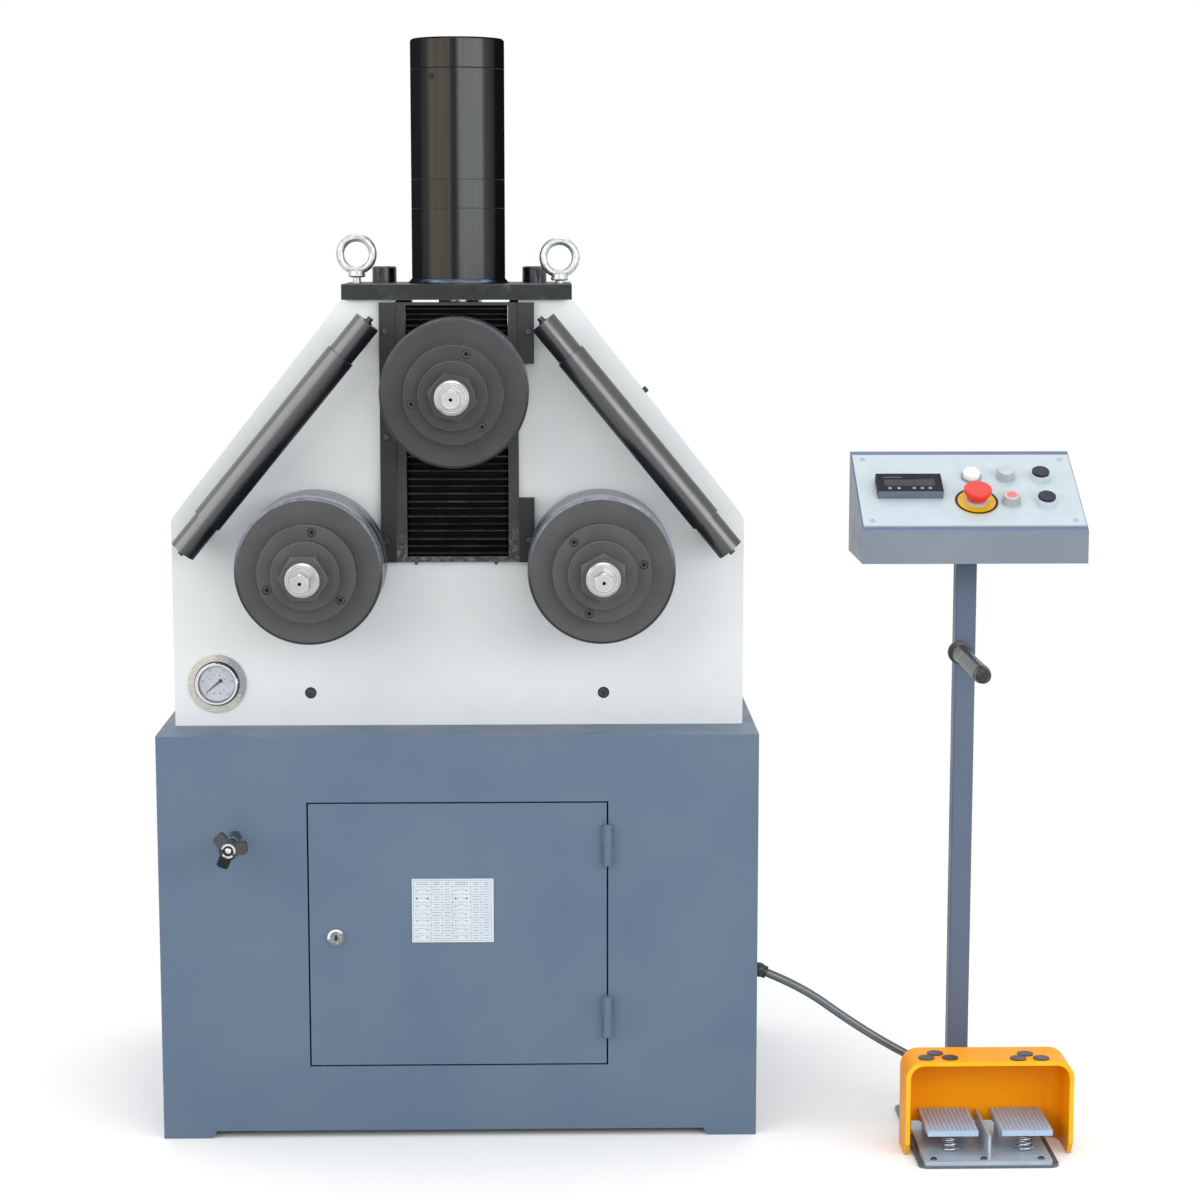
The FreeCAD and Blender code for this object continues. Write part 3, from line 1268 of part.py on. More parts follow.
inner_x = CONSOLE_X - CONSOLE_HALF + CONSOLE_SHEET
inner_front = CONSOLE_FRONT + CONSOLE_SHEET
inner_back = CONSOLE_BACK - CONSOLE_SHEET
inner_bottom = CONSOLE_BOTTOM + CONSOLE_SHEET
console_inner = extrude(
    [
        V(inner_x, inner_front, inner_bottom),
        V(inner_x, inner_front, CONSOLE_FRONT_TOP - 3.2),
        V(inner_x, inner_back, CONSOLE_BACK_TOP - 6.0),
        V(inner_x, inner_back, inner_bottom),
    ],
    V(2 * CONSOLE_HALF - 2 * CONSOLE_SHEET, 0, 0),
)
panel_s = (PANEL_EDGES[0], slope_length - PANEL_EDGES[1])
panel_half = CONSOLE_HALF - PANEL_SIDE


def panel_box(x, s, lift):
    corners = [on_panel(x[0], s[0], lift[0]), on_panel(x[1], s[0], lift[0])]
    corners += [on_panel(x[1], s[1], lift[0]), on_panel(x[0], s[1], lift[0])]
    return extrude(corners, normal * (lift[1] - lift[0]))


def seat_box(size, s, lift):
    # A box on the panel, centred on the meter.
    return panel_box((METER_X - size / 2, METER_X + size / 2), s, lift)


window_half = panel_half - PANEL_RIM
window = panel_box(
    (CONSOLE_X - window_half, CONSOLE_X + window_half),
    (panel_s[0] + PANEL_RIM, panel_s[1] - PANEL_RIM),
    (-12, 5),
)
console = cut(console, [console_inner, window])
console = console.cut(rod(V(COLUMN_X, COLUMN_Y, CONSOLE_BOTTOM - 1), UP, 18, 5))
panel_plate = panel_box((CONSOLE_X - panel_half, CONSOLE_X + panel_half), panel_s, (0, PANEL))
panel_screws = [
    on_panel(CONSOLE_X + s * (panel_half - PANEL_SCREW[0]), at, PANEL)
    for s in (-1, 1)
    for at in (panel_s[0] + PANEL_SCREW[1], panel_s[1] - PANEL_SCREW[1])
]
console_screws = []
for point in panel_screws:
    console = console.cut(screw_hole(point, normal, 4, 9))
    panel_plate = panel_plate.cut(screw_hole(point, normal, 4, 9))
    console_screws.append(button_screw(point, normal, 4, 8))
half_body = METER_BODY[1] / 2
panel_plate = panel_plate.cut(
    seat_box(METER_BODY[0] + 2, (METER_S - half_body - 1, METER_S + half_body + 1), (-1, PANEL + 1))
)
meter_face = PANEL + METER[2]
meter = fuse(
    [
        seat_box(METER[0], (METER_S - METER[1] / 2, METER_S + METER[1] / 2), (PANEL, meter_face)),
        seat_box(METER_BODY[0], (METER_S - half_body, METER_S + half_body), (-METER_BODY[2], PANEL)),
    ]
)
window_low = METER_S - METER[1] / 2 + METER_WINDOW_LOW
window_s = (window_low, window_low + METER_WINDOW[1])
meter = meter.cut(seat_box(METER_WINDOW[0], window_s, (meter_face - METER_WINDOW[2], meter_face + 1)))
keys = [rod(on_panel(METER_X + x, window_low - 7, meter_face - 1), normal, 5, 2) for x in METER_KEYS]
meter = fuse([meter] + keys)
save("console_meter", [meter])

bezels = []


def collar(x, s, outer, cap):
    # Bezel on the panel with a pocket for the cap, threaded neck below it.
    above = rod(on_panel(x, s, PANEL), normal, outer, BEZEL)
    neck = rod(on_panel(x, s, -26), normal, CONTROL - 0.4, 26 + PANEL + 1)
    pocket = rod(on_panel(x, s, PANEL + BEZEL_FLOOR), normal, cap + 2 * RUNNING, BEZEL)
    opening = rod(on_panel(x, s, -24), normal, STEM + 2 * RUNNING, 60)
    return fuse([above, neck]).cut(pocket).cut(opening)


def push_button(x, s, cap, proud):
    bottom = PANEL + BEZEL_FLOOR + PRESS + 0.3
    top = PANEL + BEZEL + proud
    profile = [(0, bottom), (cap / 2, bottom), (cap / 2, top - 1), (cap / 2 - 1, top), (0, top)]
    crown = lathe(profile, on_panel(x, s, 0), normal)
    return fuse([crown, rod(on_panel(x, s, -18), normal, STEM, 18 + bottom + 1)])


for x in COLUMNS:
    for s in ROWS:
        panel_plate = panel_plate.cut(rod(on_panel(x, s, -1), normal, CONTROL, PANEL + 2))
lamp = fuse(
    [
        rod(on_panel(COLUMNS[0], ROWS[1], PANEL), normal, 30, 2.5),
        lathe(
            [(0, 0), (12.5, 0), (12.5, 6.5), (10.5, 9), (6, 10.2), (0, 10.5)],
            on_panel(COLUMNS[0], ROWS[1], PANEL + 2),
            normal,
        ),
        rod(on_panel(COLUMNS[0], ROWS[1], -26), normal, CONTROL - 0.4, 26 + PANEL + 1),
    ]
)
bezels.append(lamp)
for x, cap in zip(COLUMNS[1:], CAPS):
    for s in ROWS:
        bezels.append(collar(x, s, cap + 3.5, cap))
disc = rod(on_panel(COLUMNS[0], ROWS[0], PANEL), normal, STOP_DISC, 1.5)
estop_base = fuse([disc, rod(on_panel(COLUMNS[0], ROWS[0], PANEL), normal, 32, 5)])
estop_base = fuse([estop_base, rod(on_panel(COLUMNS[0], ROWS[0], -30), normal, CONTROL - 0.4, 34)])
estop_base = estop_base.cut(rod(on_panel(COLUMNS[0], ROWS[0], -24), normal, STEM + 2 * RUNNING, 70))
bezels.append(estop_base)
save("button_bezels", bezels + console_screws)
for name, column, row in (("start", 0, 1), ("stop", 0, 0), ("up", 1, 1), ("down", 1, 0)):
    button = push_button(COLUMNS[column + 1], ROWS[row], CAPS[column], CAPS_PROUD[column])
    save("button_" + name, [button])
edge = STOP_HEAD / 2
profile = [(0, 12.5), (edge - 4.5, 12.5), (edge - 4.5, 19.5), (edge - 0.8, 20), (edge, 21)]
profile += [(edge, 25.5), (edge - 1.8, 27), (edge - 9, 27.7), (0, 28)]
head = lathe(profile, on_panel(COLUMNS[0], ROWS[0], 0), normal)
save("estop_head", [fuse([head, rod(on_panel(COLUMNS[0], ROWS[0], -18), normal, STEM, 31)])])
save("console_panel", [panel_plate])


def post(half, z):
    return block((COLUMN_X - half, COLUMN_X + half), (COLUMN_Y - half, COLUMN_Y + half), z)


column = post(COLUMN / 2, (BASE, CONSOLE_BOTTOM))
column = column.makeFillet(COLUMN_BEND, along(column, UP))
column = column.cut(post(COLUMN / 2 - COLUMN_WALL, (BASE - 1, CONSOLE_BOTTOM + 1)))
column_left = COLUMN_X - COLUMN / 2
column = column.cut(rod(V(column_left - 1, CONDUIT_Y, CONDUIT_END_Z), RIGHT, 14, COLUMN_WALL + 2.5))
save("console_stand", [console, column])
boss = V(HANDLE_X, COLUMN_Y - COLUMN / 2, HANDLE_Z)
reach = boss.y - GRIP_END
profile = [(0, 0), (17, 0), (17, 5), (9, 7), (9, 14), (12, 16), (13, 22), (12, 40)]
profile += [(12.6, reach - 29), (13, reach - 19), (11, reach - 5), (6, reach), (0, reach)]
save("console_handle", [lathe(profile, boss, FRONT)])

# ---------------------------------------------------------------- foot pedal
base = block(BASE_X, BASE_Y, (0, BASE))
base = base.makeFillet(14, along(base, UP))
tray = block(TRAY_X, TRAY_Y, (BASE, BASE + TRAY))
tray = tray.makeFillet(5, along(tray, UP))
tray_top = BASE + TRAY
divider = block(
    (DIVIDER_X - DIVIDER / 2, DIVIDER_X + DIVIDER / 2),
    (TRAY_Y[0] + 10, PAD_Y[1]),
    (tray_top - 1, DIVIDER_TOP),
)
half_pad = PAD_WIDTH / 2
ears = []
for x in PAD_X:
    for s in (-1, 1):
        ear_x = sorted((x + s * (half_pad - 6), x + s * (half_pad - 10)))
        ears.append(block(ear_x, (HINGE_Y - 8, HINGE_Y + 8), (tray_top - 1, PEDAL_PIVOT_Z + 5)))
tray = fuse([tray, divider] + ears)
for x in PAD_X:
    start = V(x - half_pad - 1, HINGE_Y, PEDAL_PIVOT_Z)
    tray = tray.cut(rod(start, RIGHT, PEDAL_PIN + 2 * RUNNING, PAD_WIDTH + 2))
tray_screws = []
for x, y in ((674.0, -420.0), (745.0, -420.0), (827.0, -420.0), (722.0, -240.0), (790.0, -240.0)):
    point = V(x, y, tray_top)
    tray = tray.cut(screw_hole(point, UP, 5, 5))
    tray_screws.append(button_screw(point, UP, 5, 5.5))
save("pedal_base", [base, tray] + tray_screws)
spring_low = tray_top + SPRING_WIRE / 2 + 0.1
spring_high = PAD_Z[0] - SPRING_WIRE / 2 - 0.1
SPRING_STEPS = 48


def spring(x):
    # A conical coil, wide at the tray and slim at the pad.
    points = []
    for i in range(SPRING_STEPS + 1):
        share = i / SPRING_STEPS
        angle = 2 * math.pi * SPRING_TURNS * share
        radius = SPRING_WIDE + (SPRING_SLIM - SPRING_WIDE) * share
        z = spring_low + (spring_high - spring_low) * share
        points.append(V(x + radius * math.cos(angle), SPRING_Y + radius * math.sin(angle), z))
    line = Part.BSplineCurve()
    line.interpolate(points)
    tangent = line.tangent(line.FirstParameter)[0]
    section = Part.Wire([Part.makeCircle(SPRING_WIRE / 2, points[0], tangent)])
    return Part.Wire([line.toShape()]).makePipeShell([section], True, True)


for name, x in (("left", PAD_X[0]), ("right", PAD_X[1])):
    pad = block((x - half_pad, x + half_pad), PAD_Y, PAD_Z)
    grooves = []
    for i in range(PAD_RIBS):
        groove_x = x - half_pad + 5 + 6 * i
        grooves.append(
            block((groove_x, groove_x + 2), (PAD_Y[0] + 5, PAD_Y[1] + 1), (PAD_Z[1] - 1, PAD_Z[1] + 1))
        )
    pad = cut(pad, grooves)
    lugs = []
    for s in (-1, 1):
        lug_x = sorted((x + s * (half_pad - 10.5), x + s * (half_pad - 15)))
        lugs.append(block(lug_x, (HINGE_Y - 6, HINGE_Y + 6), (PEDAL_PIVOT_Z - 6, PAD_Z[0] + 1)))
    pin = rod(V(x - half_pad + 2, HINGE_Y, PEDAL_PIVOT_Z), RIGHT, PEDAL_PIN, PAD_WIDTH - 4)
    cup = rod(V(x, SPRING_Y, PAD_Z[0] - 5), UP, 9, 6)
    save("pedal_" + name, [fuse([pad, pin, cup] + lugs)])
    save("pedal_spring_" + name, [spring(x)])

# Guard: an arch over the pads, open at the front, its sides ending in toes, its back on two lugs.
def arch(x, y, z, radius):
    solid = block(x, y, z)
    tops = [e for e in solid.Edges if near(e.BoundBox.ZMin, z[1])]
    tops = [e for e in tops if not near(e.BoundBox.YMax, y[0])]
    backs = [e for e in along(solid, UP) if near(e.BoundBox.YMin, y[1])]
    return solid.makeFillet(radius, tops + backs)


guard = arch(GUARD_X, GUARD_Y, (0, GUARD_TOP), GUARD_CORNER)
guard_under = GUARD_TOP - GUARD_WALL
guard_inner = arch(
    (GUARD_X[0] + GUARD_WALL, GUARD_X[1] - GUARD_WALL),
    (GUARD_Y[0] - 1, GUARD_Y[1] - GUARD_WALL),
    (-1, guard_under),
    GUARD_CORNER - GUARD_WALL,
)
guard = guard.cut(guard_inner)
beside = GUARD_X[0] - 1
below = extrude(
    [
        V(beside, GUARD_Y[0] - 1, -1),
        V(beside, GUARD_Y[0] - 1, GUARD_TOE[1]),
        V(beside, GUARD_Y[0], GUARD_TOE[1]),
        V(beside, GUARD_Y[0] + GUARD_TOE[0], GUARD_FLOOR),
        V(beside, GUARD_Y[1] + 1, GUARD_FLOOR),
        V(beside, GUARD_Y[1] + 1, -1),
    ],
    V(GUARD_X[1] - GUARD_X[0] + 2, 0, 0),
)
wall_y = (GUARD_Y[1] - GUARD_WALL - 1, GUARD_Y[1] + 1)
over_base = block((BASE_X[0] - 3, BASE_X[1] + 3), (GUARD_Y[1] - 40, GUARD_Y[1] + 1), (-1, BASE + 0.5))
over_tray = block((TRAY_X[0] - 2, TRAY_X[1] + 2), wall_y, (-1, GUARD_ARCH))
guard = cut(guard, [below, over_base, over_tray])
lugs = []
for x in (GUARD_X[0] + 40, GUARD_X[1] - 40 - GUARD_LUG[0]):
    across = (x, x + GUARD_LUG[0])
    lug_front = GUARD_Y[1] - 0.5
    lug_top = tray_top + GUARD_LUG[2]
    lugs.append(block(across, (lug_front, GUARD_Y[1] + GUARD_LUG[1]), (tray_top, lug_top)))
    lugs.append(block(across, (lug_front, GUARD_Y[1] + GUARD_LUG[2]), (tray_top, GUARD_ARCH + 14)))
guard = fuse([guard] + lugs)
plugs = []
for across, inward in PLUGS:
    x = GUARD_X[0] + across
    y = GUARD_Y[0] + inward
    guard = guard.cut(rod(V(x, y, guard_under - 1), UP, PLUG_HOLE, GUARD_WALL + 2))
    button = rod(V(x, y, GUARD_TOP), UP, PLUG, 1.6)
    stem = rod(V(x, y, guard_under), UP, PLUG_HOLE - 2 * LOOSE, GUARD_WALL + 1)
    plugs.append(fuse([button, stem]))
save("pedal_guard", [guard])
save("guard_plugs", plugs)

# ---------------------------------------------------------------- conduit
route = [V(x, CONDUIT_Y, z) for x, z in CONDUIT_ROUTE]
bends = cord_bends(route)
conduit, conduit_length = tube_along(route, CONDUIT, bends)
print("conduit bend radii", [round(r, 1) for r in bends], "length", round(conduit_length, 1))
print("volume ratio", round(conduit.Volume / (math.pi * CONDUIT ** 2 / 4 * conduit_length), 4))
save("control_conduit", [conduit])
glands = []
ends = (
    (V(CABINET_HALF_X, CONDUIT_Y, CONDUIT_EXIT_Z), RIGHT, route[0], route[0] - route[1]),
    (V(column_left, CONDUIT_Y, CONDUIT_END_Z), LEFT, route[-1], route[-1] - route[-2]),
)
ball = GLAND_BALL / 2
for wall, out, mouth, inward in ends:
    inward.normalize()
    elbow = mouth + inward * ball
    flange = rod(wall, out, GLAND_FLANGE, 5)
    sleeve = rod(elbow, inward * -1, GLAND_BALL - 3, ball)
    neck = rod(wall, elbow - wall, GLAND_BALL - 4, (elbow - wall).Length)
    body = fuse([flange, Part.makeSphere(ball, elbow), sleeve, neck])
    beyond = rod(mouth, inward * -1, 60, 60)
    behind = rod(wall + out * -60.0, out, 80, 60)
    stem = rod(wall + out * -4, out, GLAND_STEM, 6)
    glands.append(fuse([cut(body, [beyond, behind]), stem]))
save("cable_glands", glands)

save("frame_screws", screws)

total = 0
for name, solids in nodes.items():
    shape = solids[0] if len(solids) == 1 else Part.makeCompound(solids)
    shape.exportStep("parts/" + name + ".step")
    total += 1
    for solid in solids:
        if not solid.isValid() or solid.Volume < 1:
            print("check", name, solid.isValid(), round(solid.Volume, 2))
print(total, "nodes")
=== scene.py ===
import math

import bmesh
import bpy
from mathutils import Euler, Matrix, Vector


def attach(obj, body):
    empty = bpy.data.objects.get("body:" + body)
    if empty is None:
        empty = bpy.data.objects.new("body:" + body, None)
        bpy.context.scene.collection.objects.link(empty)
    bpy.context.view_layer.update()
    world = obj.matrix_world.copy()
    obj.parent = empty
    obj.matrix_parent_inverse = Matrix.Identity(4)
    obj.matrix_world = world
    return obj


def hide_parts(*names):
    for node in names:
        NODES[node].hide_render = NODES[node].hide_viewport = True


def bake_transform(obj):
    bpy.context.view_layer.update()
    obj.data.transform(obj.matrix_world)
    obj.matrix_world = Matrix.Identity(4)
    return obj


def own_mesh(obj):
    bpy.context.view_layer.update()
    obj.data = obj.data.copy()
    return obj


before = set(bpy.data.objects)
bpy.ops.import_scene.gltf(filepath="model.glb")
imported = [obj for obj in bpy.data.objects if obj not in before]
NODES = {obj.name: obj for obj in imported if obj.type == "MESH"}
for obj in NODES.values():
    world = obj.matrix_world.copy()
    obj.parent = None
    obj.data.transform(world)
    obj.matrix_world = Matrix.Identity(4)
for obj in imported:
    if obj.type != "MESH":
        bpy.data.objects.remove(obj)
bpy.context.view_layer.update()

MM = 0.001
FRONT = Vector((0, -1, 0))
RIGHT = Vector((1, 0, 0))
UP = Vector((0, 0, 1))

# Sizes in mm, in the row frame.
LOWER_Z = 842.5
UPPER_Z = 1090.0
ROLL_X = 205.0
AXIS_Y = -84.0
BARREL = 137.0
BARREL_TOP = 1546.0
HEAD_FRONT = -194.0
GAUGE = Vector((-353.0, HEAD_FRONT, 659.5))
DIAL = 54.6
DIAL_FLOOR = HEAD_FRONT - 1.0
DIAL_THICK = 0.25
SCALE_START = 225.0
SCALE_SWEEP = 270.0
# Dial scales, each by its ticks, ticks per long one, outer radius, and for long and short ticks
# the inner radius and width; then the steps, value per step, radius and height of its numbers.
DIAL_TICKS = ((50, 10, 25.8, (24.0, 0.45), (24.6, 0.2)), (35, 5, 17.9, (16.6, 0.28), (17.1, 0.15)))
DIAL_NUMBERS = ((5, 10, 21.6, 2.9), (7, 50, 13.2, 1.8))
BEZEL = 63.0
NEEDLE_ANGLE = 219.5
VALVE = Vector((-321.0, -280.0, 450.0))
KNOB_FRONT = -369.0
DISC_FRONT = -374.0
SCREW_CIRCLE = 59.0
SCREW_REACH = 6.7
ROLL_FACE = 98.5
RING_STEPS = (-313.0, -271.0)
ROLLS = (
    ("upper", 0.0, UPPER_Z, 72.0),
    ("left", -ROLL_X, LOWER_Z, 82.0),
    ("right", ROLL_X, LOWER_Z, 132.0),
)
WINDOW_HALF = 73.0
STRIP_INNER = 88.5
FOLD_FRONT = -201.6
FOLD_BACK = -186.4
LOWER_BELLOWS = (846.0, 1020.0)
UPPER_BELLOWS = (1160.0, 1208.5)
CHART_X = (-68.0, 50.0)
CHART_Z = (293.0, 387.0)
CHART_FACE = -281.5
# Section shapes on the chart: a line width, and lines between points of a small square.
SECTIONS = {
    0: (0.9, [(-1, 0, 1, 0)]),
    3: (0.5, [(-1, -1, 1, -1), (-1, -1, -1, 1)]),
    4: (0.5, [(-1, 1, 1, 1), (0, -1, 0, 1)]),
    5: (0.45, [(-1, -1, -1, 1), (1, -1, 1, 1), (-1, -1, 1, -1)]),
    6: (0.45, [(-1, -1, -1, 1), (-1, -1, 1, -1), (1, -1, 1, 1), (-1, 1, 1, 1)]),
}
CONSOLE_BOTTOM = 846.0
SLOPE_START = Vector((736.0, -304.0, 893.0))
SLOPE = Vector((0, 170.0, 99.0)).normalized()
SLOPE_NORMAL = Vector((0, -99.0, 170.0)).normalized()
PANEL = 3.0
METER_X = 651.0
METER_S = 96.0
METER_LIFT = 13.0
BUTTON_X = (745.0, 794.5, 845.5)
BUTTON_S = (66.0, 127.0)
STOP_TOP = 16.0
STOP_DISC = 62.0
LATCH = Vector((-178.0, -285.0, 301.0))
PAD_X = {"left": 703.5, "right": 809.5}
GUARD_FRONT = -370.0
TRAY_TOP = 10.05
TRAY_SCREWS = ((674.0, -420.0), (745.0, -420.0), (827.0, -420.0), (722.0, -240.0), (790.0, -240.0))
SPRING_Y = -379.0
SPRING_Z = (10.1, 37.9)
CONDUIT = 12.5
CONDUIT_Y = -190.0
CONDUIT_ROUTE = ((453.3, 219.4), (505.0, 198.0), (580.0, 143.0), (652.0, 98.0), (700.0, 74.0))
FOLDS = {"lower": 16, "upper": 6}
SPRING_WIRE = 1.2
SPRING_TURNS = 4.6
SPRING_RADII = (12.2, 6.4)
SPRING_STEPS = 160
EQUIPMENT_TOP = 425.0
BASE_TOP = 4.1

# The photograph's camera, in metres and degrees.
LENS = 79.5
SENSOR = 36.0
CAMERA_PLACE = (0.120, -4.021, 1.308)
CAMERA_TURN = (82.158, 0.0, -1.285)

# Area lamps: place, target and size in metres, power in watts, colour.
LAMPS = {
    "left": ((-2.4, -2.5, 2.1), (0.0, -0.1, 0.9), (4.0, 2.6), 44.0, (1.0, 0.985, 0.96)),
    "right": ((1.96, -2.93, 1.7), (0.0, -0.1, 1.1), (4.2, 1.2), 46.0, (1.0, 1.0, 1.0)),
    "top": ((0.2, 0.2, 4.2), (0.2, 0.0, 0.8), (3.0, 3.0), 36.0, (1.0, 1.0, 1.0)),
}
WORLD_LIGHT = 0.90
FLOOR_BOUNCE = (0.57, 0.57, 0.57, 1.0)


def linear(colour):
    """A display colour of three values from 0 to 255 as linear ones; anything else stays as it is."""
    if not isinstance(colour, tuple) or len(colour) != 3:
        return colour
    shares = [value / 255 for value in colour]
    return (*(v / 12.92 if v <= 0.04045 else ((v + 0.055) / 1.055) ** 2.4 for v in shares), 1.0)


def compass(degrees):
    """The direction at an angle in a plane."""
    return Vector((math.cos(math.radians(degrees)), math.sin(math.radians(degrees))))


# ---------------------------------------------------------------- camera and conduit
def make_camera():
    data = bpy.data.cameras.new("camera")
    data.lens = LENS
    data.sensor_width = SENSOR
    camera = bpy.data.objects.new("camera", data)
    bpy.context.collection.objects.link(camera)
    camera.location = CAMERA_PLACE
    camera.rotation_euler = Euler([math.radians(turn) for turn in CAMERA_TURN])
    bpy.context.scene.camera = camera


def make_conduit(material):
    data = bpy.data.curves.new("conduit", "CURVE")
    data.dimensions = "3D"
    spline = data.splines.new("NURBS")
    spline.points.add(len(CONDUIT_ROUTE) - 1)
    for point, (x, z) in zip(spline.points, CONDUIT_ROUTE):
        point.co = (x * MM, CONDUIT_Y * MM, z * MM, 1.0)
    spline.order_u = 3
    spline.use_endpoint_u = True
    data.resolution_u = 24
    data.bevel_depth = CONDUIT / 2 * MM
    data.bevel_resolution = 8
    data.materials.append(material)
    curve = bpy.data.objects.new("conduit", data)
    bpy.context.collection.objects.link(curve)
    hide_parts("control_conduit")
    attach(curve, "frame")


# ---------------------------------------------------------------- materials
class Shader:
    """A node material around one Principled shader, in object coordinates.

    Colours are display values from 0 to 255, or four linear values.
    """

    def __init__(self, name, **uniform):
        self.material = bpy.data.materials.new(name)
        self.material.use_nodes = True
        self.tree = self.material.node_tree
        self.surface = self.tree.nodes["Principled BSDF"]
        for key, value in uniform.items():
            self.surface.inputs[key.replace("_", " ")].default_value = value
        self.place = self.add("ShaderNodeTexCoord").outputs["Object"]
        self.normal = None

    def add(self, kind, inputs=None, **settings):
        node = self.tree.nodes.new(kind)
        for key, value in settings.items():
            setattr(node, key, value)
        for key, value in (inputs or {}).items():
            if isinstance(value, bpy.types.NodeSocket):
                self.tree.links.new(value, node.inputs[key])
            else:
                node.inputs[key].default_value = value
        return node

    def link(self, value, key):
        self.tree.links.new(value, self.surface.inputs[key])

    def math(self, operation, a, b=0.0):
        return self.add("ShaderNodeMath", {0: a, 1: b}, operation=operation).outputs[0]

    def times(self, a, b):
        return self.math("MULTIPLY", a, b)

    def vectors(self, operation, a, b=(0.0, 0.0, 0.0)):
        return self.add("ShaderNodeVectorMath", {0: a, 1: b}, operation=operation).outputs

    def axes(self):
        return self.add("ShaderNodeSeparateXYZ", {"Vector": self.place}).outputs

    def stretch(self, scale):
        return self.add("ShaderNodeMapping", {"Vector": self.place, "Scale": scale}).outputs["Vector"]

    def noise(self, scale, detail=3.0, rough=0.55, place=None):
        inputs = {"Vector": place or self.place, "Scale": scale, "Detail": detail, "Roughness": rough}
        return self.add("ShaderNodeTexNoise", inputs).outputs["Fac"]

    def span(self, value, low, high, start=0.0, end=1.0):
        inputs = {"Value": value, "From Min": low, "From Max": high, "To Min": start, "To Max": end}
        return self.add("ShaderNodeMapRange", inputs).outputs["Result"]

    def mix(self, share, a, b):
        inputs = {0: share, 6: linear(a), 7: linear(b)}
        return self.add("ShaderNodeMix", inputs, data_type="RGBA").outputs[2]

    def cloudy(self, scale, detail, colour, second, low=0.35, high=0.65):
        """A tone that drifts between two colours."""
        return self.mix(self.span(self.noise(scale, detail), low, high), colour, second)

    def radius(self, x, z):
        """Distance from an axis along Y, in metres."""
        away = self.vectors("SUBTRACT", self.place, (x, 0.0, z))[0]
        return self.vectors("LENGTH", self.vectors("MULTIPLY", away, (1.0, 0.0, 1.0))[0])["Value"]

    def rings(self, radius, scale, detail=2.0):
        """Noise that changes only with the radius, as on a turned face."""
        inputs = {"W": radius, "Scale": scale, "Detail": detail}
        return self.add("ShaderNodeTexNoise", inputs, noise_dimensions="1D").outputs["Fac"]

    def facing(self, way):
        """How far a surface looks along a direction: 1 when it faces it."""
        true = self.add("ShaderNodeNewGeometry").outputs["Normal"]
        return self.vectors("DOT_PRODUCT", true, way)["Value"]

    def edges(self, size):
        """A mask of the convex and concave edges, from a rounded normal."""
        rounded = self.add("ShaderNodeBevel", {"Radius": size * MM}, samples=4).outputs["Normal"]
        return self.span(self.math("SUBTRACT", 1.0, self.facing(rounded)), 0.02, 0.25)

    def tint_edges(self, tone, size, share, colour, broken=None):
        """A tone that turns to another colour along the edges, where broken lets it: wear on most parts, a
        painted edge highlight on the door, the guard and the roll faces.
        """
        mask = self.edges(size)
        if broken is not None:
            mask = self.times(mask, broken)
        return self.mix(self.times(mask, share), tone, colour)

    def sheen(self, face, edge, start=0.3, end=0.75):
        """Gloss that fades from surfaces seen face on to surfaces seen edge on."""
        facing = self.add("ShaderNodeLayerWeight", {"Blend": 0.5}).outputs["Facing"]
        self.surface.inputs["Specular IOR Level"].default_value = min(face, 1.0)
        self.link(self.span(facing, start, end, face, edge), "Specular IOR Level")

    def bump(self, height, strength, distance):
        inputs = {"Height": height, "Strength": strength, "Distance": distance * MM}
        if self.normal is not None:
            inputs["Normal"] = self.normal
        self.normal = self.add("ShaderNodeBump", inputs).outputs["Normal"]
        self.link(self.normal, "Normal")

    def finish(self, tone, polish=None, grain=None, rise=None):
        """Sets the tone, and often the rest: polish is the scale, detail, low and high of the
        roughness, grain the settings of a noise, and rise how strong and deep (mm) it stands out."""
        self.link(tone, "Base Color")
        if polish:
            scale, detail, low, high = polish
            self.link(self.span(self.noise(scale, detail), 0.3, 0.7, low, high), "Roughness")
            self.bump(self.noise(*grain), *rise)
        return self.material


def painted(name, colour, second, rough, edge_colour=None, share=0.0, patch=5.0, level=0.24, top_shade=None):
    """Powder coat: soft mottling, orange peel, rougher patches and lighter edges (wear; on the door and the
    guard a painted highlight); top_shade gives a painted shade on faces that look up and a painted light
    patch lifting the shade beside the left guide.
    """
    shader = Shader(name, Specular_IOR_Level=level)
    tone = shader.cloudy(patch, 4.0, colour, second)
    if top_shade:
        # Painted light: a lighter patch on the head round the left guide roller, toward the window, lifting
        # its shade.
        painted_light_patch = shader.span(shader.radius(-0.118, 1.06), 0.16, 0.03)
        tone = shader.mix(painted_light_patch, tone, (246, 249, 250))
        # Painted shade: faces that look up take the darker top colour.
        tone = shader.mix(shader.span(shader.facing(UP), 0.15, 0.6), tone, top_shade)
    if edge_colour:
        broken = shader.span(shader.noise(90.0, 4.0), 0.35, 0.6)
        tone = shader.tint_edges(tone, 1.2, share, edge_colour, broken)
    return shader.finish(tone, (14.0, 5.0, rough - 0.06, rough + 0.08), (420.0, 2.0), (0.25, 0.25))


def blackened(name, colour, second, rough, level, edge_colour, share, patch=22.0):
    """Blackened steel: cloudy, satin where it faces the eye, with rubbed lighter edges."""
    shader = Shader(name)
    tone = shader.cloudy(patch, 5.0, colour, second)
    broken = shader.span(shader.noise(90.0, 4.0), 0.3, 0.6, 0.3, 1.0)
    tone = shader.tint_edges(tone, 1.2, share, edge_colour, broken)
    shader.sheen(level, 0.06)
    return shader.finish(tone, (30.0, 5.0, rough - 0.06, rough + 0.08), (300.0, 3.0), (0.25, 0.2))


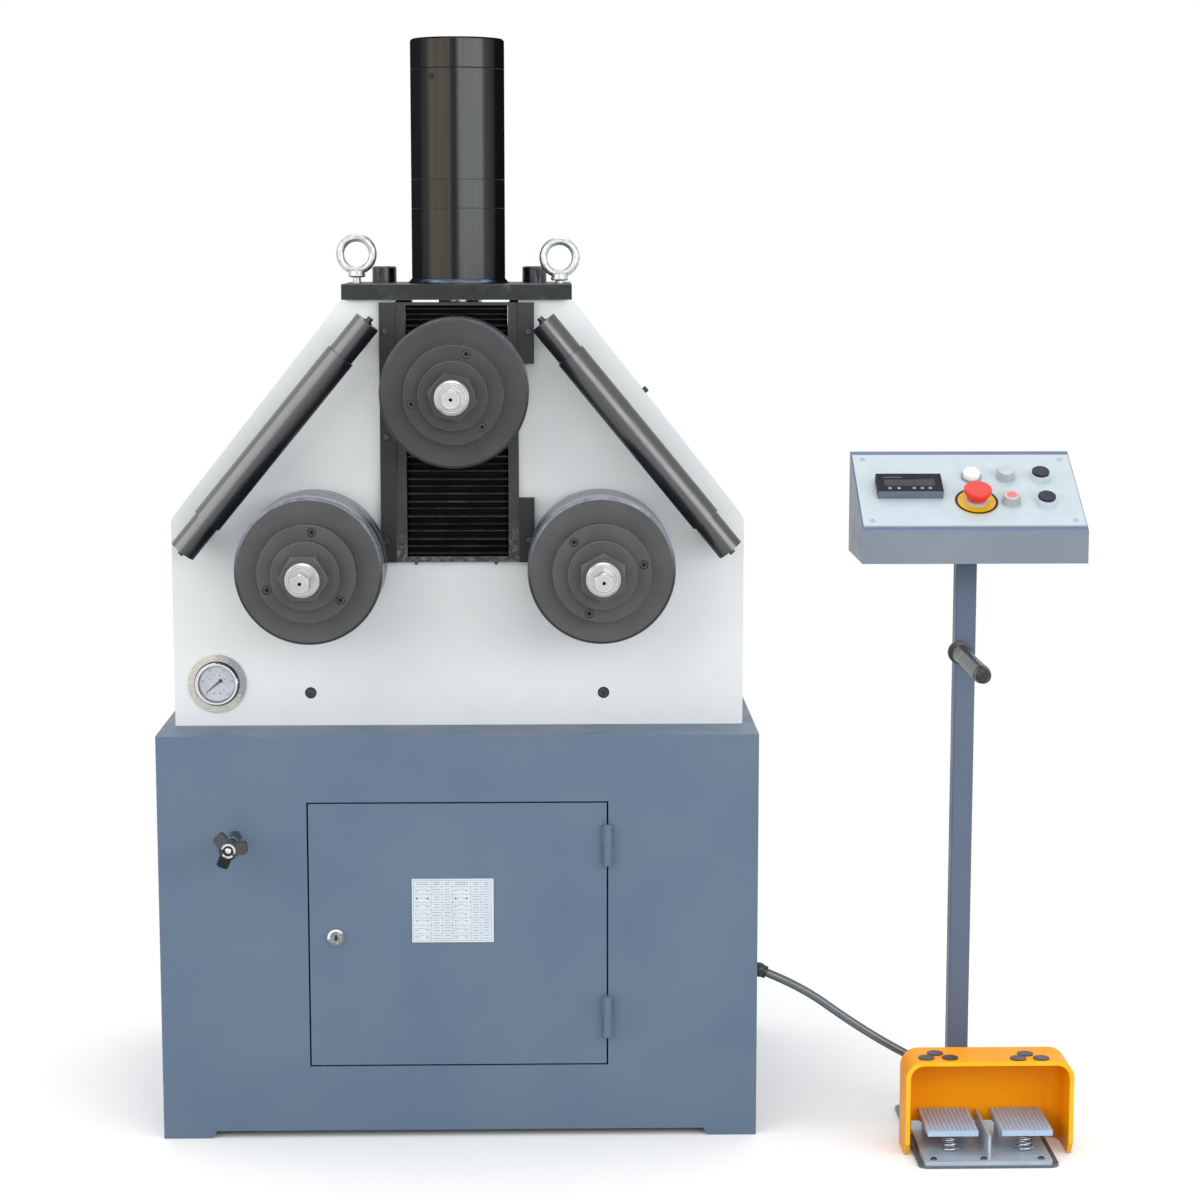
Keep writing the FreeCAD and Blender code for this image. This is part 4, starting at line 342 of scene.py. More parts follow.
def guide_black():
    """Polished black guide rollers, with a painted highlight: their gloss is raised on faces that look up,
    to the front and to the left, a broad band on their upper front, and dark below.
    """
    shader = Shader("guide_black")
    tone = shader.cloudy(22.0, 5.0, (25, 28, 31), (33, 36, 40))
    broken = shader.span(shader.noise(90.0, 4.0), 0.3, 0.6, 0.3, 1.0)
    tone = shader.tint_edges(tone, 1.2, 0.6, (92, 97, 106), broken)
    # Painted highlight: the gloss follows how far a face looks toward the upper front left.
    lit = shader.span(shader.facing((-0.36, -0.68, 0.64)), 0.1, 0.95, 0.12, 2.0)
    shader.link(lit, "Specular IOR Level")
    return shader.finish(tone, (30.0, 5.0, 0.16, 0.3), (300.0, 3.0), (0.25, 0.2))


def strip_black():
    """Blackened cover strips, darker toward the foot."""
    shader = Shader("strip_black", Specular_IOR_Level=0.3)
    cloud = shader.span(shader.noise(26.0, 4.0), 0.3, 0.7, -0.2, 0.2)
    share = shader.math("ADD", shader.span(shader.axes()["Z"], 0.83, 1.02), cloud)
    tone = shader.tint_edges(shader.mix(share, (30, 35, 37), (54, 55, 55)), 1.0, 0.4, (92, 94, 96))
    return shader.finish(tone, (40.0, 4.0, 0.4, 0.55), (300.0, 3.0), (0.25, 0.2))


def gib_steel():
    """Guide strips beside the bellows: dark, with rubbed edges and a brighter, speckled foot."""
    shader = Shader("gib_steel", Specular_IOR_Level=0.35)
    specks = shader.span(shader.noise(150.0, 6.0, 0.7), 0.44, 0.64)
    low = shader.span(shader.axes()["Z"], 0.90, 0.855, 0.06, 0.8)
    tone = shader.mix(shader.times(specks, low), (53, 53, 52), (128, 127, 121))
    tone = shader.tint_edges(tone, 1.0, 0.5, (112, 112, 110))
    return shader.finish(tone, (60.0, 4.0, 0.36, 0.5), (200.0, 4.0), (0.2, 0.15))


def top_plate_paint():
    """Black plate with rubbed, lighter patches, more of them to the right."""
    shader = Shader("plate_black", Specular_IOR_Level=0.35)
    patchy = shader.span(shader.noise(28.0, 8.0, 0.7), 0.52, 0.66)
    share = shader.times(patchy, shader.span(shader.axes()["X"], -0.05, 0.16, 0.25, 0.8))
    tone = shader.tint_edges(shader.mix(share, (34, 38, 38), (92, 97, 96)), 1.5, 0.5, (120, 122, 124))
    return shader.finish(tone, (60.0, 5.0, 0.34, 0.62), (160.0, 6.0, 0.6), (0.4, 0.4))


def gloss_black():
    """Thick gloss enamel on the cylinder, with a few pale specks of grit and faint lengthwise runs; painted
    shade, a painted glint on the weld and painted reflection tints on it.
    """
    shader = Shader("gloss_black")
    specks = shader.span(shader.noise(700.0, 2.0), 0.70, 0.76)
    place = shader.axes()
    # Painted shade: darker down the middle, where the reflections leave a gap, and darker on the right.
    away = shader.math("ABSOLUTE", place["X"])
    tone = shader.mix(shader.span(away, 0.032, 0.056), (11, 12, 12), (29, 29, 32))
    tone = shader.mix(shader.span(place["X"], 0.03, 0.06), tone, (15, 16, 17))
    tone = shader.mix(shader.times(specks, 0.25), tone, (70, 72, 76))
    # A painted bluish glint on the weld bead at the foot, across the front.
    foot = shader.span(place["Z"], 1.2446, 1.2432)
    foot = shader.times(foot, shader.span(place["Z"], 1.2392, 1.2404))
    weld_glint = shader.span(shader.noise(70.0, 4.0, 0.6, shader.stretch((0.5, 0.5, 3.0))), 0.34, 0.6)
    weld_glint = shader.times(weld_glint, shader.span(away, 0.056, 0.04))
    tone = shader.mix(shader.times(weld_glint, foot), tone, (104, 124, 160))
    # Painted reflection colours: the gloss is tinted warm on the left and cool on the right, and dimmed in
    # a narrow strip just left of the middle.
    side = shader.span(place["X"], -0.012, 0.0)
    streaks = shader.span(shader.noise(150.0, 4.0, 0.6, shader.stretch((1.0, 1.0, 0.02))), 0.34, 0.66)
    warm = shader.mix(streaks, (0.66, 0.62, 0.48, 1.0), (0.90, 0.85, 0.69, 1.0))
    cool = shader.mix(streaks, (0.92, 1.0, 1.0, 1.0), (1.0, 1.0, 1.0, 1.0))
    reflection_gap = shader.span(shader.math("ABSOLUTE", shader.math("ADD", place["X"], 0.0045)), 0.0055, 0.003)
    tint = shader.mix(reflection_gap, shader.mix(side, warm, cool), (0.48, 0.55, 0.51, 1.0))
    shader.link(tint, "Specular Tint")
    shader.sheen(0.52, 0.0, 0.17, 0.40)
    shader.link(shader.span(streaks, 0.0, 1.0, 0.13, 0.24), "Roughness")
    shader.bump(shader.noise(60.0, 3.0, 0.5, shader.stretch((1.0, 1.0, 0.06))), 0.05, 0.4)
    return shader.finish(tone)


def turned(name, x, z, tone, light, rough, metal, ring_scale, edge_colour, share, wobble, sheen=None, rim=1.6):
    """A turned face: fine rings about an axis along Y, and lighter edges: wear, and on the roll faces a
    painted highlight.
    """
    shader = Shader(name, Metallic=metal)
    lines = shader.rings(shader.radius(x * MM, z * MM), ring_scale, 4.0)
    shade = shader.cloudy(18.0, 4.0, tone, light)
    shade = shader.mix(shader.times(shader.span(lines, 0.35, 0.7), wobble), shade, edge_colour)
    broken = shader.span(shader.noise(120.0, 4.0), 0.3, 0.6, 0.35, 1.0)
    shade = shader.tint_edges(shade, rim, share, edge_colour, broken)
    if sheen:
        shader.sheen(*sheen)
    shader.link(shader.span(lines, 0.3, 0.7, rough - 0.07, rough + 0.07), "Roughness")
    shader.bump(lines, 0.12, 0.12)
    shader.bump(shader.noise(260.0, 3.0), 0.12, 0.12)
    return shader.finish(shade)


def roll_steel(name, x, z):
    """Front face of a roll; the upper roll is darker."""
    tones = ((48, 48, 48), (57, 57, 56)) if z == UPPER_Z else ((65, 66, 66), (75, 75, 74))
    sheen = (0.42, 0.04, 0.2, 0.7)
    # The roll faces' lighter edges stand for lit edge lines: a painted highlight all round, with wear.
    return turned(name, x, z, *tones, 0.44, 0.0, 900.0, (134, 137, 144), 0.8, 0.08, sheen, 1.2)


def roll_bevel(name, z):
    """The bevel of a front ring: dark, with a patchy bluish painted highlight along its top, strong on a
    lower roll and faint on the upper one.
    """
    shader = Shader(name, Specular_IOR_Level=0.3)
    height = shader.axes()["Z"]
    patchy = shader.span(shader.noise(34.0, 5.0, 0.7), 0.36, 0.62, 0.4, 1.0)
    bright = 0.18 if z == UPPER_Z else 1.0
    # Painted highlight: the bluish tone rises from below the axis to the top of the ring.
    top = shader.span(height, (z - 20) * MM, (z + 75) * MM, 0.0, bright)
    share = shader.times(patchy, top)
    shader.link(shader.mix(share, (40, 42, 45), (146, 151, 168)), "Base Color")
    shader.link(shader.span(patchy, 0.0, 1.0, 0.5, 0.34), "Roughness")
    shader.bump(shader.noise(260.0, 3.0), 0.12, 0.12)
    return shader.material


def roll_side():
    """The rims of the rings, mirror-like at a low angle, with painted reflections: the front ring's rim
    painted light, the second dark and the third mid grey.
    """
    shader = Shader("roll_side", Specular_IOR_Level=0.5)
    depth = shader.axes()["Y"]
    lines = shader.span(shader.rings(depth, 500.0, 3.0), 0.3, 0.7)
    second = shader.math("GREATER_THAN", depth, RING_STEPS[0] * MM)
    third = shader.math("GREATER_THAN", depth, RING_STEPS[1] * MM)
    # Painted reflections, ring by ring from the front.
    tone = shader.mix(second, (132, 138, 140), (36, 38, 41))
    tone = shader.mix(third, tone, (66, 70, 74))
    tone = shader.mix(shader.times(lines, 0.35), tone, (110, 114, 118))
    shader.link(tone, "Base Color")
    shader.link(shader.span(lines, 0.0, 1.0, 0.16, 0.3), "Roughness")
    shader.bump(lines, 0.08, 0.08)
    return shader.material


def bright_steel(name, x, z):
    tones = ((150, 151, 150), (184, 185, 184))
    return turned(name, x, z, *tones, 0.32, 1.0, 700.0, (236, 236, 234), 0.5, 0.6)


def metal(
    name, colour, second, rough, scale=60.0, rough_span=0.1, bump=0.1, edge_colour=None, coarse=200.0, metallic=1.0
):
    """Plain or plated metal with cloudy tone and uneven polish."""
    shader = Shader(name, Metallic=metallic)
    tone = shader.cloudy(scale, 5.0, colour, second, 0.3, 0.7)
    if edge_colour:
        tone = shader.tint_edges(tone, 0.8, 0.6, edge_colour)
    low, high = max(rough - rough_span, 0.03), rough + rough_span
    return shader.finish(tone, (scale * 1.7, 5.0, low, high), (coarse, 4.0), (bump, 0.2))


def brushed(name, colour, second, rough, direction, metallic):
    """Metal brushed along one direction."""
    shader = Shader(name, Metallic=metallic)
    streaks = shader.noise(60.0, 3.0, 0.6, shader.stretch(direction))
    shader.link(shader.span(streaks, 0.3, 0.7, rough - 0.08, rough + 0.1), "Roughness")
    shader.bump(streaks, 0.15, 0.1)
    return shader.finish(shader.mix(shader.span(streaks, 0.3, 0.7), colour, second))


def gauge_flange():
    """Brushed flange of the gauge, with a painted reflection: warm on its left and a darker bluish grey on
    its upper right.
    """
    shader = Shader("gauge_flange", Metallic=0.7)
    streaks = shader.span(shader.noise(60.0, 3.0, 0.6, shader.stretch((1.0, 1.0, 9.0))), 0.3, 0.7)
    place = shader.axes()
    across = shader.math("ADD", place["X"], shader.times(place["Z"], 0.4))
    middle = (GAUGE.x + 0.4 * GAUGE.z) * MM
    # Painted reflection: the upper right turns to the darker grey.
    cool = shader.span(across, middle + 0.012, middle + 0.034)
    warm = shader.mix(streaks, (188, 187, 178), (214, 212, 203))
    grey = shader.mix(streaks, (140, 145, 147), (160, 165, 167))
    shader.link(shader.mix(cool, warm, grey), "Base Color")
    shader.link(shader.span(streaks, 0.0, 1.0, 0.3, 0.46), "Roughness")
    shader.bump(streaks, 0.15, 0.1)
    return shader.material


def latch_face():
    """Face of the lock: a painted highlight on the upper rim, the lower rim painted darker, round a dull,
    uneven middle.
    """
    shader = Shader("latch_face", Metallic=0.85)
    mottled = shader.span(shader.noise(330.0, 3.0), 0.38, 0.62)
    tone = shader.mix(mottled, (112, 116, 116), (176, 180, 179))
    place = shader.axes()
    high = shader.math("SUBTRACT", place["Z"], shader.times(place["X"], 0.5))
    middle = LATCH.z - 0.5 * LATCH.x
    upper = shader.span(high, (middle + 1) * MM, (middle + 5) * MM)
    rim = shader.span(shader.radius(LATCH.x * MM, LATCH.z * MM), 0.0090, 0.0098)
    # Painted highlight on the upper part of the rim, painted shade on the lower part.
    tone = shader.mix(rim, tone, shader.mix(upper, (124, 127, 127), (246, 247, 247)))
    shader.link(tone, "Base Color")
    shader.link(shader.span(mottled, 0.0, 1.0, 0.2, 0.32), "Roughness")
    shader.bump(mottled, 0.2, 0.15)
    return shader.material


def plastic(name, colour, second, rough=0.3, peel=0.08, grain=500.0, level=0.5, coat=0.0):
    """Moulded plastic, print or rubber with a slightly uneven tone and gloss."""
    shader = Shader(name, Specular_IOR_Level=level, Coat_Weight=coat)
    tone = shader.cloudy(40.0, 4.0, colour, second, 0.3, 0.7)
    return shader.finish(tone, (70.0, 4.0, rough - 0.06, rough + 0.08), (grain, 2.0), (peel, 0.15))


def glass():
    shader = Shader("glass", Transmission_Weight=1.0, IOR=1.45, Alpha=1.0)
    smear = shader.noise(60.0, 4.0)
    shader.link(shader.mix(smear, (246, 249, 250), (255, 255, 255)), "Base Color")
    shader.link(shader.span(smear, 0.3, 0.7, 0.0, 0.05), "Roughness")
    return shader.material


def bellows_fabric():
    """Coated cloth: dull black, with a painted highlight along the front crest of each fold, broken into
    patches and bands, and a fine weave.
    """
    shader = Shader("bellows_fabric", Specular_IOR_Level=0.25)
    place = shader.axes()
    crest = shader.span(place["Y"], (FOLD_FRONT + 0.75) * MM, (FOLD_FRONT + 0.15) * MM)
    patchy = shader.span(shader.noise(60.0, 5.0), 0.35, 0.65, 0.1, 1.0)
    bands = shader.span(shader.rings(place["Z"], 62.0), 0.38, 0.62, 0.25, 1.0)
    patchy = shader.times(patchy, bands)
    # Painted highlight on the fold crests.
    tone = shader.mix(shader.times(crest, patchy), (12, 14, 16), (70, 73, 77))
    shader.link(tone, "Base Color")
    shader.link(shader.span(shader.noise(90.0, 4.0), 0.3, 0.7, 0.62, 0.8), "Roughness")
    weave = shader.add("ShaderNodeTexVoronoi", {"Vector": shader.place, "Scale": 1400.0})
    shader.bump(weave.outputs["Distance"], 0.25, 0.1)
    return shader.material


def conduit_sheath():
    """Grey jacketed conduit with a soft lengthwise sheen."""
    shader = Shader("conduit_rubber")
    tone = shader.cloudy(45.0, 4.0, (56, 65, 70), (72, 81, 86), 0.3, 0.7)
    shader.sheen(1.3, 0.05, 0.25, 0.7)
    return shader.finish(tone, (80.0, 4.0, 0.2, 0.3), (300.0, 3.0), (0.15, 0.15))


# ---------------------------------------------------------------- mesh helpers
def add_object(name, data, material, body, slot=None, smooth=False):
    piece = bpy.data.objects.new(name, data)
    bpy.context.collection.objects.link(piece)
    data.materials.append(material)
    for face in data.polygons:
        face.use_smooth = smooth
    if body:
        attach(piece, body)
    return piece


def add_mesh(name, mesh, *settings):
    """Turns a closed bmesh into a piece, with its faces looking outward."""
    bmesh.ops.recalc_face_normals(mesh, faces=mesh.faces)
    data = bpy.data.meshes.new(name)
    mesh.to_mesh(data)
    mesh.free()
    return add_object(name, data, *settings)


def revolve(mesh, profile, centre, axis, steps):
    """Adds a closed solid of revolution: profile holds (radius, height) pairs in mm."""
    side = axis.orthogonal().normalized()
    other = axis.cross(side)
    loops = []
    for radius, height in profile:
        base = centre + axis * height
        if radius < 1e-6:
            loops.append([mesh.verts.new(base * MM)])
            continue
        loop = []
        for i in range(steps):
            angle = 2 * math.pi * i / steps
            way = side * math.cos(angle) + other * math.sin(angle)
            loop.append(mesh.verts.new((base + way * radius) * MM))
        loops.append(loop)
    pairs = list(zip(loops, loops[1:]))
    if len(loops[0]) > 1 and len(loops[-1]) > 1:
        pairs.append((loops[-1], loops[0]))
    for low, high in pairs:
        for i in range(steps):
            j = (i + 1) % steps
            corners = [low[i % len(low)], low[j % len(low)], high[j % len(high)], high[i % len(high)]]
            corners = list(dict.fromkeys(corners))
            if len(corners) > 2:
                mesh.faces.new(corners)


def lathe_piece(name, profile, centre, axis, material, body, slot=None, steps=64):
    mesh = bmesh.new()
    revolve(mesh, profile, centre, axis, steps)
    piece = add_mesh(name, mesh, material, body, slot, True)
    piece.data.set_sharp_from_angle(angle=math.radians(35))
    return piece


def sweep(mesh, points, radius, sides=12):
    """Adds a round wire along points, in mm, with flat ends."""
    rings = []
    for i, point in enumerate(points):
        ahead = points[min(i + 1, len(points) - 1)] - points[max(i - 1, 0)]
        along = ahead.normalized()
        side = along.cross(UP if abs(along.z) < 0.9 else RIGHT).normalized()
        other = along.cross(side)
        ring = []
        for k in range(sides):
            angle = 2 * math.pi * k / sides
            way = side * math.cos(angle) + other * math.sin(angle)
            ring.append(mesh.verts.new((point + way * radius) * MM))
        rings.append(ring)
    for low, high in zip(rings, rings[1:]):
        for k in range(sides):
            m = (k + 1) % sides
            mesh.faces.new((low[k], low[m], high[m], high[k]))
    mesh.faces.new(rings[0][::-1])
    mesh.faces.new(rings[-1])


class Print:
    """Thin flat marks in a plane, in mm: u to the right and v up from the origin."""

    def __init__(self, origin, right=RIGHT, up=UP, thick=0.06):
        self.thick = thick
        self.origin = origin
        self.right = right
        self.up = up
        self.out = right.cross(up)
        self.mesh = bmesh.new()

    def at(self, u, v, lift=0.0):
        return (self.origin + self.right * u + self.up * v + self.out * lift) * MM

    def polygon(self, points):
        top = [self.mesh.verts.new(self.at(u, v, self.thick)) for u, v in points]
        low = [self.mesh.verts.new(self.at(u, v)) for u, v in points]
        self.mesh.faces.new(top)
        self.mesh.faces.new(low[::-1])
        for i in range(len(points)):
            j = (i + 1) % len(points)
            self.mesh.faces.new((low[i], low[j], top[j], top[i]))

    def line(self, a, b, width):
        across = Vector((b[1] - a[1], a[0] - b[0])).normalized() * width / 2
        a, b = Vector(a), Vector(b)
        self.polygon([a + across, b + across, b - across, a - across])

    def arc(self, centre, radius, width, start=0.0, end=360.0, steps=48):
        inner, outer = radius - width / 2, radius + width / 2
        for i in range(steps):
            ways = [compass(start + (end - start) * (i + k) / steps) for k in (0, 1)]
            middle = Vector(centre)
            corners = [(0, inner), (0, outer), (1, outer), (1, inner)]
            self.polygon([middle + ways[k] * reach for k, reach in corners])

    def disc(self, centre, radius, steps=32):
        self.polygon([Vector(centre) + compass(360 * i / steps) * radius for i in range(steps)])

    def text(self, words, centre, height):
        data = bpy.data.curves.new("digits", "FONT")
        data.body = words
        data.align_x = "CENTER"
        data.align_y = "CENTER"
        data.size = height * 1.4
        data.extrude = self.thick / 2
        data.resolution_u = 3
        holder = bpy.data.objects.new("digits", data)
        bpy.context.collection.objects.link(holder)
        bpy.context.view_layer.update()
        solid = bpy.data.meshes.new_from_object(holder)
        count = len(self.mesh.verts)
        self.mesh.from_mesh(solid)
        self.mesh.verts.ensure_lookup_table()
        for vertex in self.mesh.verts[count:]:
            u, v, lift = vertex.co
            vertex.co = self.at(u + centre[0], v + centre[1], lift + self.thick / 2)
        bpy.data.objects.remove(holder)
        bpy.data.curves.remove(data)
        bpy.data.meshes.remove(solid)

    def piece(self, name, material, body, slot=None):
        return add_mesh(name, self.mesh, material, body, slot)


def on_panel(x, s, lift):
    """A point in mm by its X, its distance up the console's slope and its height above it."""
    start = Vector((x, SLOPE_START.y, SLOPE_START.z))
    return start + SLOPE * s + SLOPE_NORMAL * lift


def panel_place(point):
    """X, distance up the slope and height above it of a point, all in mm."""
    away = point - Vector((0.0, SLOPE_START.y, SLOPE_START.z))
    return away.x, away.dot(SLOPE), away.dot(SLOPE_NORMAL)


def off_axis(point, x, z):
    """Distance of a point from an axis along Y, in mm."""
    return math.hypot(point.x - x, point.z - z)


def finish_node(name, materials, choose=lambda centre, normal: 0):
    """Gives a CAD node its materials; choose picks one by a face's centre in mm and its normal."""
    data = NODES[name].data
    data.materials.clear()
    for material in materials:
        data.materials.append(material)
    for face in data.polygons:
        face.material_index = int(choose(Vector(face.center) / MM, Vector(face.normal)))


# ---------------------------------------------------------------- pieces
def fold_sheet(name, low, high, folds, material):
    """A pleated cloth between two heights, with rounded folds and a slightly slack surface."""
    pitch = (high - low) / folds
    drift = [0.13 * pitch * math.sin(2.3 * fold) * (0 < fold < folds) for fold in range(folds + 1)]
    line = []
    bend = ((0.00, 0.0), (0.10, 0.55), (0.30, 0.92), (0.42, 1.0), (0.50, 0.93), (0.62, 0.55), (0.80, 0.10))
    for fold in range(folds):
        start = fold * pitch + drift[fold]
        tall = pitch + drift[fold + 1] - drift[fold]
        line += [(start + share * tall, rise) for share, rise in bend]
    line.append((high - low, 0.0))
    mesh = bmesh.new()
    columns = 25
    thick = 0.5
    grid = {}
    for side in (-1, 1):
        for i, (height, rise) in enumerate(line):
            for k in range(columns):
                x = -WINDOW_HALF + 2 * WINDOW_HALF * k / (columns - 1)
                inside = min(1.0, height / pitch, (high - low - height) / pitch)
                slack = 0.35 * math.sin(0.09 * x + 1.7 * i) * math.sin(math.pi * k / (columns - 1))
                y = FOLD_BACK + (FOLD_FRONT - FOLD_BACK) * rise + side * thick
                y = min(max(y, FOLD_FRONT), FOLD_BACK)
                grid[side, i, k] = mesh.verts.new(Vector((x, y, low + height + slack * inside)) * MM)
    rows = len(line)
    for i in range(rows - 1):
        for k in range(columns - 1):
            for side in (-1, 1):
                corners = ((i, k), (i, k + 1), (i + 1, k + 1), (i + 1, k))
                mesh.faces.new([grid[side, row, column] for row, column in corners])
        for k in (0, columns - 1):
            mesh.faces.new((grid[-1, i, k], grid[-1, i + 1, k], grid[1, i + 1, k], grid[1, i, k]))
    for i in (0, rows - 1):
        for k in range(columns - 1):
            mesh.faces.new((grid[-1, i, k], grid[-1, i, k + 1], grid[1, i, k + 1], grid[1, i, k]))
    piece = add_mesh(name, mesh, material, None, "bellows_fabric", True)
    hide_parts(name.replace("_cloth", ""))
    return piece


def make_bellows():
    fabric = bellows_fabric()
    low, high = LOWER_BELLOWS
    lower = fold_sheet("bellows_lower_cloth", low, high, FOLDS["lower"], fabric)
    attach(lower, "frame")
    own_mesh(lower)
    low, high = UPPER_BELLOWS
    upper = fold_sheet("bellows_upper_cloth", low, high, FOLDS["upper"], fabric)
    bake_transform(upper)


def make_springs(material):
    """Conical springs under the pads, fixed in place here; on the machine they shorten as the pads go down.
    """
    low, high = SPRING_Z
    wide, narrow = SPRING_RADII
    rise = high - low - 2 * SPRING_WIRE
    for side, x in PAD_X.items():
        points = []
        for i in range(SPRING_STEPS + 1):
            share = i / SPRING_STEPS
            angle = 2 * math.pi * SPRING_TURNS * share
            radius = wide + (narrow - wide) * share
            z = low + SPRING_WIRE + rise * min(max((share - 0.08) / 0.84, 0.0), 1.0)
            points.append(Vector((x + radius * math.cos(angle), SPRING_Y + radius * math.sin(angle), z)))
        mesh = bmesh.new()
        sweep(mesh, points, SPRING_WIRE)
        piece = add_mesh("spring_" + side, mesh, material, None, "bright_steel", True)
        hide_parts("pedal_spring_" + side)
        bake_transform(piece)


def make_gauge(ink, border, face, needle_ink, hub_metal, seam, shade):
    """Dial, scales, hand, a painted shadow round the dial's edge, and the dark joint round the bezel with
    painted shade.
    """
    plate = Vector((GAUGE.x, DIAL_FLOOR, GAUGE.z))
    radius = DIAL / 2
    profile = [(0, 0), (radius, 0), (radius, DIAL_THICK), (0, DIAL_THICK)]
    lathe_piece("gauge_dial", profile, plate, FRONT, face, "frame", None, 72)
    front = plate + FRONT * DIAL_THICK
    arcs = Print(front)
    arcs.arc((0, 0), 25.4, 0.3, -45, 225, 90)
    arcs.arc((0, 0), 17.9, 0.26, -45, 225, 72)
    arcs.piece("gauge_arcs", border, "frame")
    marks = Print(front)
    for ticks, per_long, outer, long, short in DIAL_TICKS:
        for i in range(ticks + 1):
            way = compass(SCALE_START - SCALE_SWEEP * i / ticks)
            inner, width = short if i % per_long else long
            marks.line(way * inner, way * outer, width)
    for steps, value, away, height in DIAL_NUMBERS:
        for i in range(steps + 1):
            marks.text(str(value * i), compass(SCALE_START - SCALE_SWEEP / steps * i) * away, height)
    for u in (-4.4, 4.4):
        marks.disc((u, -14.4), 1.15)
    marks.piece("gauge_marks", ink, "frame")
    # Painted shadow inside the bezel, wider from the top round the left to the lower right.
    rim = Print(front)
    rim.arc((0, 0), radius - 0.45, 0.9, -45, 75, 60)
    rim.arc((0, 0), radius - 0.7, 1.4, 75, 315, 90)
    rim.piece("gauge_rim_shadow", shade, "frame")
    # Dark ring at the bezel's foot: the joint, with painted shade round it.
    joint = Print(Vector((GAUGE.x, HEAD_FRONT - 2.5, GAUGE.z)), thick=0.15)
    joint.arc((0, 0), BEZEL / 2 + 0.75, 1.4, 0, 360, 90)
    joint.piece("gauge_joint", seam, "frame")

    u, v = compass(NEEDLE_ANGLE)
    way = Vector((u, 0, v))
    hand = Print(Vector((GAUGE.x, DIAL_FLOOR - 1.5, GAUGE.z)), way, FRONT.cross(way), 0.5)
    edge = [(-6.0, 0.9), (0.0, 1.2), (20.2, 0.4)]
    hand.polygon([(u, -v) for u, v in edge] + [(20.6, 0.0)] + edge[::-1])
    hand.disc((-6.8, 0.0), 2.8, 40)
    needle = hand.piece("gauge_hand", needle_ink, "needle", "needle_black")
    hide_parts("gauge_needle")
    hub = [(0, 0), (2.0, 0), (2.0, 1.0), (1.6, 1.5), (0.8, 1.7), (0, 1.7)]
    centre = plate + FRONT
    lathe_piece("gauge_hub", hub, centre, FRONT, hub_metal, "needle", "needle_black", 40)


def make_chart(ink):
    """A ruled chart of section shapes, without words."""
    chart = Print(Vector((CHART_X[0], CHART_FACE, CHART_Z[0])))
    wide, tall = CHART_X[1] - CHART_X[0], CHART_Z[1] - CHART_Z[0]
    bottom = 2.2
    top = tall - bottom
    head = top - 9.5
    rows = 7
    step = (head - bottom) / rows
    columns = (bottom, 27.5, 43.5, 58.5, 85.0, 100.0, wide - bottom - 1.5)
    for u in columns:
        chart.line((u, bottom), (u, top), 0.32)
    for v in [top] + [head - step * i for i in range(rows + 1)]:
        chart.line((columns[0], v), (columns[-1], v), 0.32)
    for start in (columns[0], columns[3]):
        for row in range(rows):
            v = head - step * (row + 0.5)
            draw_section(chart, start + 4.6, v, row)
            draw_section(chart, start + 20.6, v, row)
            rise = 1.4 if row % 2 else 2.4
            chart.arc((start + 12.6, v + rise - 14.0), 14.0, 0.3, 62, 118, 12)
    for group, left in enumerate((1, 2, 4, 5)):
        for row in range(rows):
            for line in (0.32, 0.68):
                v = head - step * (row + line)
                inset = 3.4 if (row + group) % 3 else 2.2
                chart.line((columns[left] + inset, v), (columns[left + 1] - inset, v), 0.55)
    for start, end in zip(columns, columns[1:]):
        for v in (top - 3.2, top - 6.2):
            chart.line((start + 3.5, v), (end - 3.5, v), 0.6)
    chart.piece("chart_rules", ink, "door", "chart_metal")


def draw_section(chart, u, v, kind):
    """A small outline of a bar, tube or profile section."""
    size = 1.7
    if kind == 1:
        chart.disc((u, v), 1.5, 20)
    elif kind == 2:
        chart.arc((u, v), 1.5, 0.45, 0, 360, 20)
    else:
        width, lines = SECTIONS[kind]
        for a, b, c, d in lines:
            chart.line((u + size * a, v + size * b), (u + size * c, v + size * d), width)


def make_cylinder_details(seam, screw):
    """Seams round the cylinder and a small socket screw under its cap."""
    outside = BARREL / 2
    for name, z, rise in (("low", 1346.5, 0.15), ("high", 1388.0, 0.15), ("cap", BARREL_TOP, 0.1)):
        bottom, top = outside - 0.5, outside + rise
        band = [(bottom, -0.7), (top, -0.35), (top, 0.35), (bottom, 0.7)]
        place = Vector((0, AXIS_Y, z))
        lathe_piece("seam_" + name, band, place, UP, seam, "frame", "gloss_black", 128)
    way = compass(-90 - 32).to_3d()
    seat = Vector((0, AXIS_Y, 1535.0)) + way * (outside - 0.6)
    head = [(0, 1.0), (2.4, 1.0), (2.4, 2.1), (4.0, 2.1), (4.8, 1.3), (4.8, 0), (0, 0)]
    lathe_piece("port_screw", head, seat, way, screw, "frame", "black_screws", 32)


def make_console_details(ink, screen, label):
    """Meter window with its narrow label strip, and the dark outline of the stop disc."""
    face = PANEL + METER_LIFT
    for name, material, place, wide, tall, thick in (
        ("window", screen, (METER_X, METER_S + 0.5, face - 1.15), 36.9, 8.4, 0.5),
        ("label", label, (METER_X - 24.0, METER_S + 12.6, face), 13.0, 1.1, 0.06),
    ):
        mark = Print(on_panel(*place), RIGHT, SLOPE, thick)
        mark.polygon([(-wide, -tall), (wide, -tall), (wide, tall), (-wide, tall)])
        mark.piece("meter_" + name, material, "frame", "meter_plastic")
    ring = Print(on_panel(BUTTON_X[0], BUTTON_S[0], PANEL + 1.5), RIGHT, SLOPE)
    ring.arc((0, 0), STOP_DISC / 2 - 1.9, 3.6, 0, 360, 72)
    ring.piece("stop_disc_line", ink, "frame", "bezel_metal")


